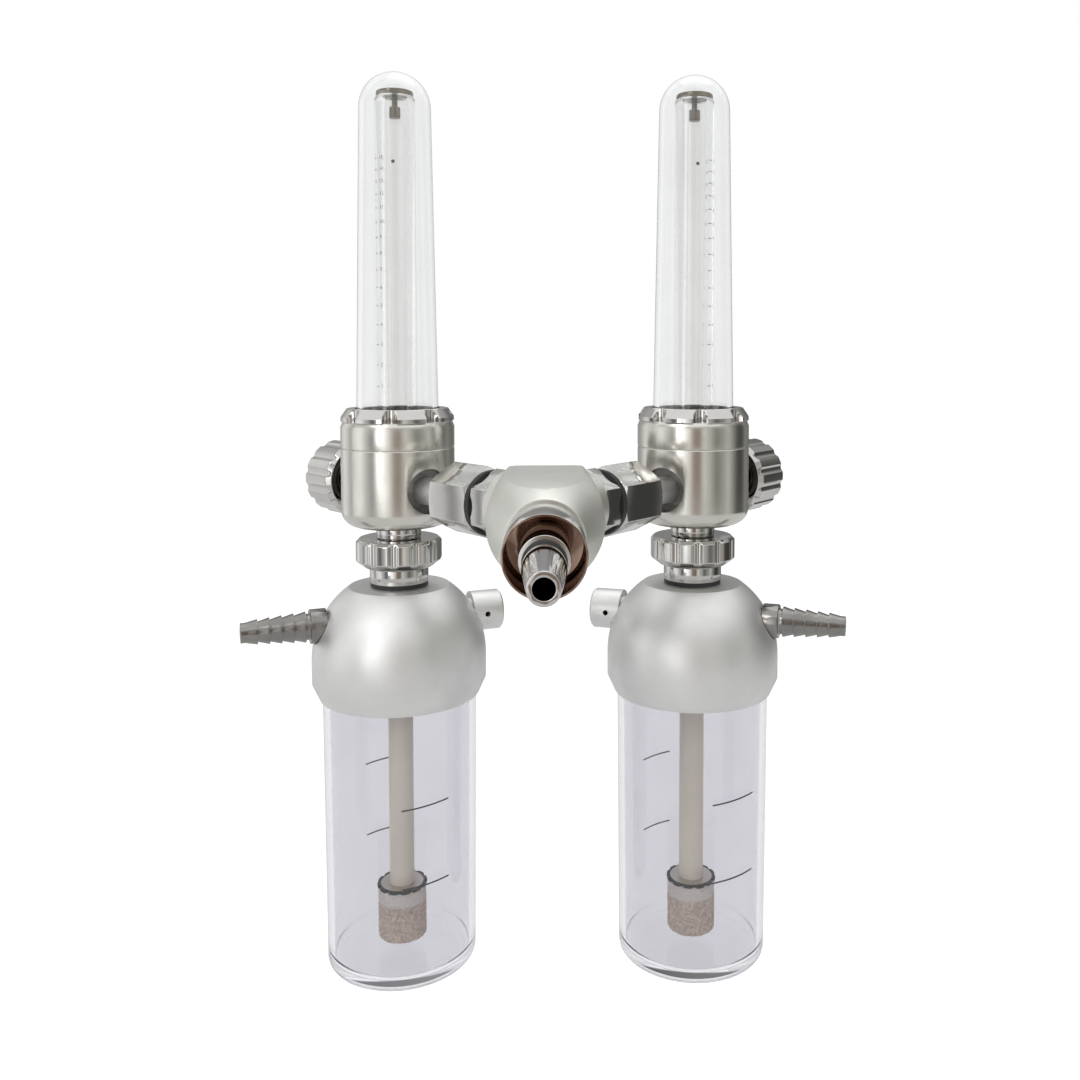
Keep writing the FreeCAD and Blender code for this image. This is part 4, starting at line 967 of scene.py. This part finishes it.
def makeKnob(side):
    s = knobSet
    corners = growOutline([
        (s["spindle"], s["recessFloor"], 0.1), (s["recess"], s["recessFloor"], 0.6),
        (s["recess"], s["start"], 0.3), (s["radius"] - s["edge"], s["start"], 0.5),
        (s["radius"], s["start"] + s["edge"], 0.6),
        (s["radius"], s["end"] - s["edge"], 0.6), (s["radius"] - s["edge"], s["end"], 0.5),
        (s["screwRecess"], s["end"], 0.3), (s["screwRecess"], s["screwFloor"], 0.2),
        (s["screwShank"], s["screwFloor"], 0.1), (s["screwShank"], s["spindleEnd"]),
        (s["spindle"], s["spindleEnd"]),
    ], s["longestRun"])
    showGripped(side + "Knob", corners, s, side + "_knob_body", side + "_control_knob", alongArm(side))


# coupling nut over the bottle, heights above its lower face
couplingSet = {
    "low": -29.0, "height": 10.3, "radius": 15.5, "taper": 3.0, "slope": 2.4, "upper": 1.2, "neck": 6.3,
    "thread": 7.06, "lip": 1.9, "grooves": 12, "grooveRadius": 2.2, "grooveCircle": 16.8, "softness": 0.5,
    "longestRun": 1.2, "segments": 264,
}


def makeCoupling(side):
    s = couplingSet
    corners = growOutline([
        (s["neck"], 0, 0.1), (s["radius"] - s["taper"], 0, 0.4), (s["radius"], s["slope"], 0.5),
        (s["radius"], s["height"] - s["upper"], 0.5), (s["radius"] - s["upper"], s["height"], 0.4),
        (s["thread"], s["height"], 0.2), (s["thread"], s["lip"], 0.1), (s["neck"], s["lip"], 0.1),
    ], s["longestRun"])
    place = uprightAt(side) @ Matrix.Translation((0, 0, s["low"]))
    showGripped(side + "CouplingNut", corners, s, side + "_coupling", side + "_coupling_nut", place)


# scale on the flow tube, turned as each tube stands: ticks, plain numbers and a small dot
scaleSet = {
    "radius": 7.2, "ticks": 15, "start": 36.6, "step": 7.77, "growth": -0.142, "sweep": 14.0,
    "thickness": 0.26, "turn": {"left": -158.0, "right": -54.0}, "numberSize": 1.9, "numberGap": 12.0,
    "numberDepth": 0.03, "numberSteps": 3, "taper": 0.2,
    "dotHeight": 116.0, "dotAngle": -88.0, "dotRadius": 0.62, "dotDepth": 0.08, "dotSegments": 20,
}


def joinMeshes(name, parts):
    builder = bmesh.new()
    for part in parts:
        builder.from_mesh(part)
    mesh = bpy.data.meshes.new(name)
    builder.to_mesh(mesh)
    builder.free()
    return mesh


def wrapAround(mesh, radius, angle, height):
    # a flat drawing in X and Z, laid round the tube from this angle
    for vertex in mesh.vertices:
        x, y, z = vertex.co
        reach = radius - y
        turn = angle + x / radius
        vertex.co = (reach * math.cos(turn), reach * math.sin(turn), z + height)


def numberMesh(number, s):
    data = bpy.data.curves.new("scaleNumber", "FONT")
    data.body = str(number)
    data.size = s["numberSize"]
    data.extrude = s["numberDepth"]
    data.align_y = "CENTER"
    data.resolution_u = s["numberSteps"]
    mesh = evaluatedMesh(showSource("scaleNumber", data), "scaleNumber")
    mesh.transform(Matrix.Rotation(math.pi / 2, 4, "X"))
    return mesh


def drawMarks(name, s, start, sweep, **values):
    # printed lines from one angle over another, in radians
    blank = bpy.data.meshes.new("blank")
    return runTree(blank, marksTree, name, Radius=s["radius"], Step=s["step"], From=start, Sweep=sweep,
                   Thickness=s["thickness"], Taper=s["taper"], Material=materials["blackInk"], **values)


def makeTubeScale(side):
    s = scaleSet
    start = math.radians(s["turn"][side])
    parts = [drawMarks(side + "Ticks", s, start, math.radians(s["sweep"]),
                       Marks=s["ticks"], Start=s["start"], Growth=s["growth"])]
    for number in range(s["ticks"]):
        mesh = numberMesh(number + 1, s)
        height = s["start"] + s["step"] * number + s["growth"] * number ** 2
        wrapAround(mesh, s["radius"], start + math.radians(s["sweep"] + s["numberGap"]), height)
        parts.append(mesh)
    outline = [(0, 0), (s["dotRadius"], 0), (s["dotRadius"], s["dotDepth"]), (0, s["dotDepth"])]
    dot = turnedMesh("dot", outline, s["dotSegments"])
    dot.transform(Matrix.Rotation(math.pi / 2, 4, "X"))
    wrapAround(dot, s["radius"], math.radians(s["dotAngle"]), s["dotHeight"])
    parts.append(dot)
    mesh = joinMeshes(side + "TubeScale", parts)
    showPiece(mesh, "blackInk", "root", (), uprightAt(side))


# level lines on the bottle, on its near and far face: start and sweep in degrees
levelSet = {
    "radius": 27.52, "lines": 2, "upper": -109.0, "step": -28.0, "lean": -0.008, "thickness": 0.55,
    "taper": 0.85, "Near": (-82.0, 36.0), "Far": (102.0, 28.0), "rise": 2.4, "pivot": 0.3,
}


def slopeMarks(mesh, s):
    # the lines climb a little to the right
    for vertex in mesh.vertices:
        vertex.co.z += s["rise"] * (vertex.co.x / s["radius"] - s["pivot"])


def makeBottleLevels(side):
    s = levelSet
    parts = []
    for face in ("Near", "Far"):
        start, sweep = s[face]
        part = drawMarks(side + face + "Levels", s, math.radians(start), math.radians(sweep),
                         Marks=s["lines"], Start=s["upper"], Lean=s["lean"])
        slopeMarks(part, s)
        parts.append(part)
    mesh = joinMeshes(side + "BottleLevels", parts)
    showPiece(mesh, "blackInk", side + "_bottle_body", (), uprightAt(side))


# sintered diffuser at the foot of the bubbler tube
diffuserSet = {
    "pipe": 4.5, "radius": 8.6, "top": -148.2, "under": -166.7, "pipeEnd": -153.0, "edge": 1.2,
    "density": 1.6, "grain": 0.32, "seed": 5, "longestRun": 2.0, "segments": 48, "sharp": 60.0,
}


def makeDiffuser(side):
    s = diffuserSet
    corners = [
        (s["pipe"], s["pipeEnd"]), (s["pipe"], s["top"], 0.2), (s["radius"], s["top"], s["edge"]),
        (s["radius"], s["under"], s["edge"]), (0, s["under"]), (0, s["pipeEnd"]),
    ]
    mesh = turnedMesh(side + "DiffuserBlank", growOutline(corners, s["longestRun"]), s["segments"])
    mesh = runTree(mesh, grainsTree, side + "Diffuser", Density=s["density"], Size=s["grain"],
                   Seed=s["seed"], Material=materials["sinteredBeige"])
    showPiece(mesh, "sinteredBeige", "root", [side + "_diffuser"], uprightAt(side), s["sharp"])


for side in sides:
    makeCover(side)
    makeTube(side)
    makeBottle(side)
    makeCoverRing(side)
    makeKnob(side)
    makeCoupling(side)
    makeTubeScale(side)
    makeBottleLevels(side)
    makeDiffuser(side)
print("turned pieces made")


# pieces whose solid has every cut and bore: a merged copy with softened edges, in millimetres
softened = {
    "_valve_body": ("satinChrome", "satin_chrome", 0.25),
    "_union_nut": ("brightChrome", "bright_chrome", 0.25),
    "_block_adaptor": ("brightChrome", "bright_chrome", 0.25),
    "_inlet_stub": ("satinAluminium", "bright_chrome", 0.15),
    # painted shade: the bonnet near black, as the shaded gap by the knob
    "_valve_bonnet": ("paintedShadeBrass", "bright_chrome", 0.2),
    "_outlet_spigot": ("brightChrome", "bright_chrome", 0.2),
    "_inlet_stem": ("brightChrome", "bright_chrome", 0.3),
    "_bottle_cap": ("satinAluminium", "satin_aluminium", 0.3),
    "_hose_barb": ("nickelBarb", "bright_chrome", 0.12),
    "_relief_cap": ("satinAluminium", "bright_chrome", 0.25),
    "_knob_screw": ("plainSteel", "steel", 0.15),
    "_needle_spindle": ("plainBrass", "brass", 0.1),
    "_bubbler_tube": ("ivoryPlastic", "ivory_plastic", 0.15),
    "_tube_disc": ("plainBrass", "brass", 0.15),
    "_float_stop": ("plainBrass", "brass", 0.15),
    "_float_ball": ("plainSteel", "steel", 0.0),
}
softenedAlone = {
    "manifold_block": ("creamAluminium", "satin_aluminium", 0.5),
    "probe_collar": ("cupChrome", "bright_chrome", 0.12),
    "probe_nozzle": ("brightChrome", "bright_chrome", 0.2),
}
bodyOf = {node: body for body, nodes in frame["record"]["behaviour"]["bodies"].items() for node in nodes}


def pieceName(words):
    return "".join(word.capitalize() for word in words.split("_"))


# metres and degrees, except for the count of steps across a softened edge
softenSet = {"merge": 2e-6, "flat": 0.4, "sharp": 32.0, "steps": 3}


def softenedCopy(node, name, material, slot, edge):
    s = softenSet
    mesh = frame["nodes"][node].data.copy()
    mesh.name = name
    builder = bmesh.new()
    builder.from_mesh(mesh)
    bmesh.ops.remove_doubles(builder, verts=builder.verts, dist=s["merge"])
    bmesh.ops.dissolve_limit(
        builder, angle_limit=math.radians(s["flat"]), verts=builder.verts, edges=builder.edges)
    builder.to_mesh(mesh)
    builder.free()
    if edge > 0:
        source = showSource(name + "Source", mesh)
        bevel = source.modifiers.new("edges", "BEVEL")
        bevel.width = edge * layout["millimetre"]
        bevel.segments = s["steps"]
        bevel.limit_method = "ANGLE"
        bevel.angle_limit = math.radians(s["sharp"])
        bevel.use_clamp_overlap = True
        mesh = evaluatedMesh(source, name)
    showPiece(mesh, material, bodyOf[node], [node])


def makeReliefSpring(side):
    node = side + "_relief_spring"
    mesh = frame["nodes"][node].data.copy()
    mesh.name = side + "ReliefSpring"
    piece = showPiece(mesh, "plainSteel", "root", [node])
    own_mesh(piece)


for side in sides:
    makeReliefSpring(side)
    for ending, facts in softened.items():
        softenedCopy(side + ending, side + pieceName(ending), *facts)
for node, facts in softenedAlone.items():
    softenedCopy(node, pieceName(node), *facts)
print("softened copies made")

# solids that stay as they are, with a finish of this scene
keptNodes = {
    "cover_seals": "blackRubber", "tube_seals": "blackRubber", "stem_seals": "blackRubber",
    "cap_gaskets": "blackRubber", "union_seals": "blackRubber", "probe_o_ring": "blackRubber",
    "diffuser_clips": "darkSteel",
    "left_relief_poppet": "plainSteel", "right_relief_poppet": "plainSteel",
}
for node, material in keptNodes.items():
    slots = frame["nodes"][node].data.materials
    for number in range(len(slots)):
        slots[number] = materials[material]
print("kept solids painted:", len(keptNodes))

bpy.context.scene.view_settings.view_transform = "Standard"
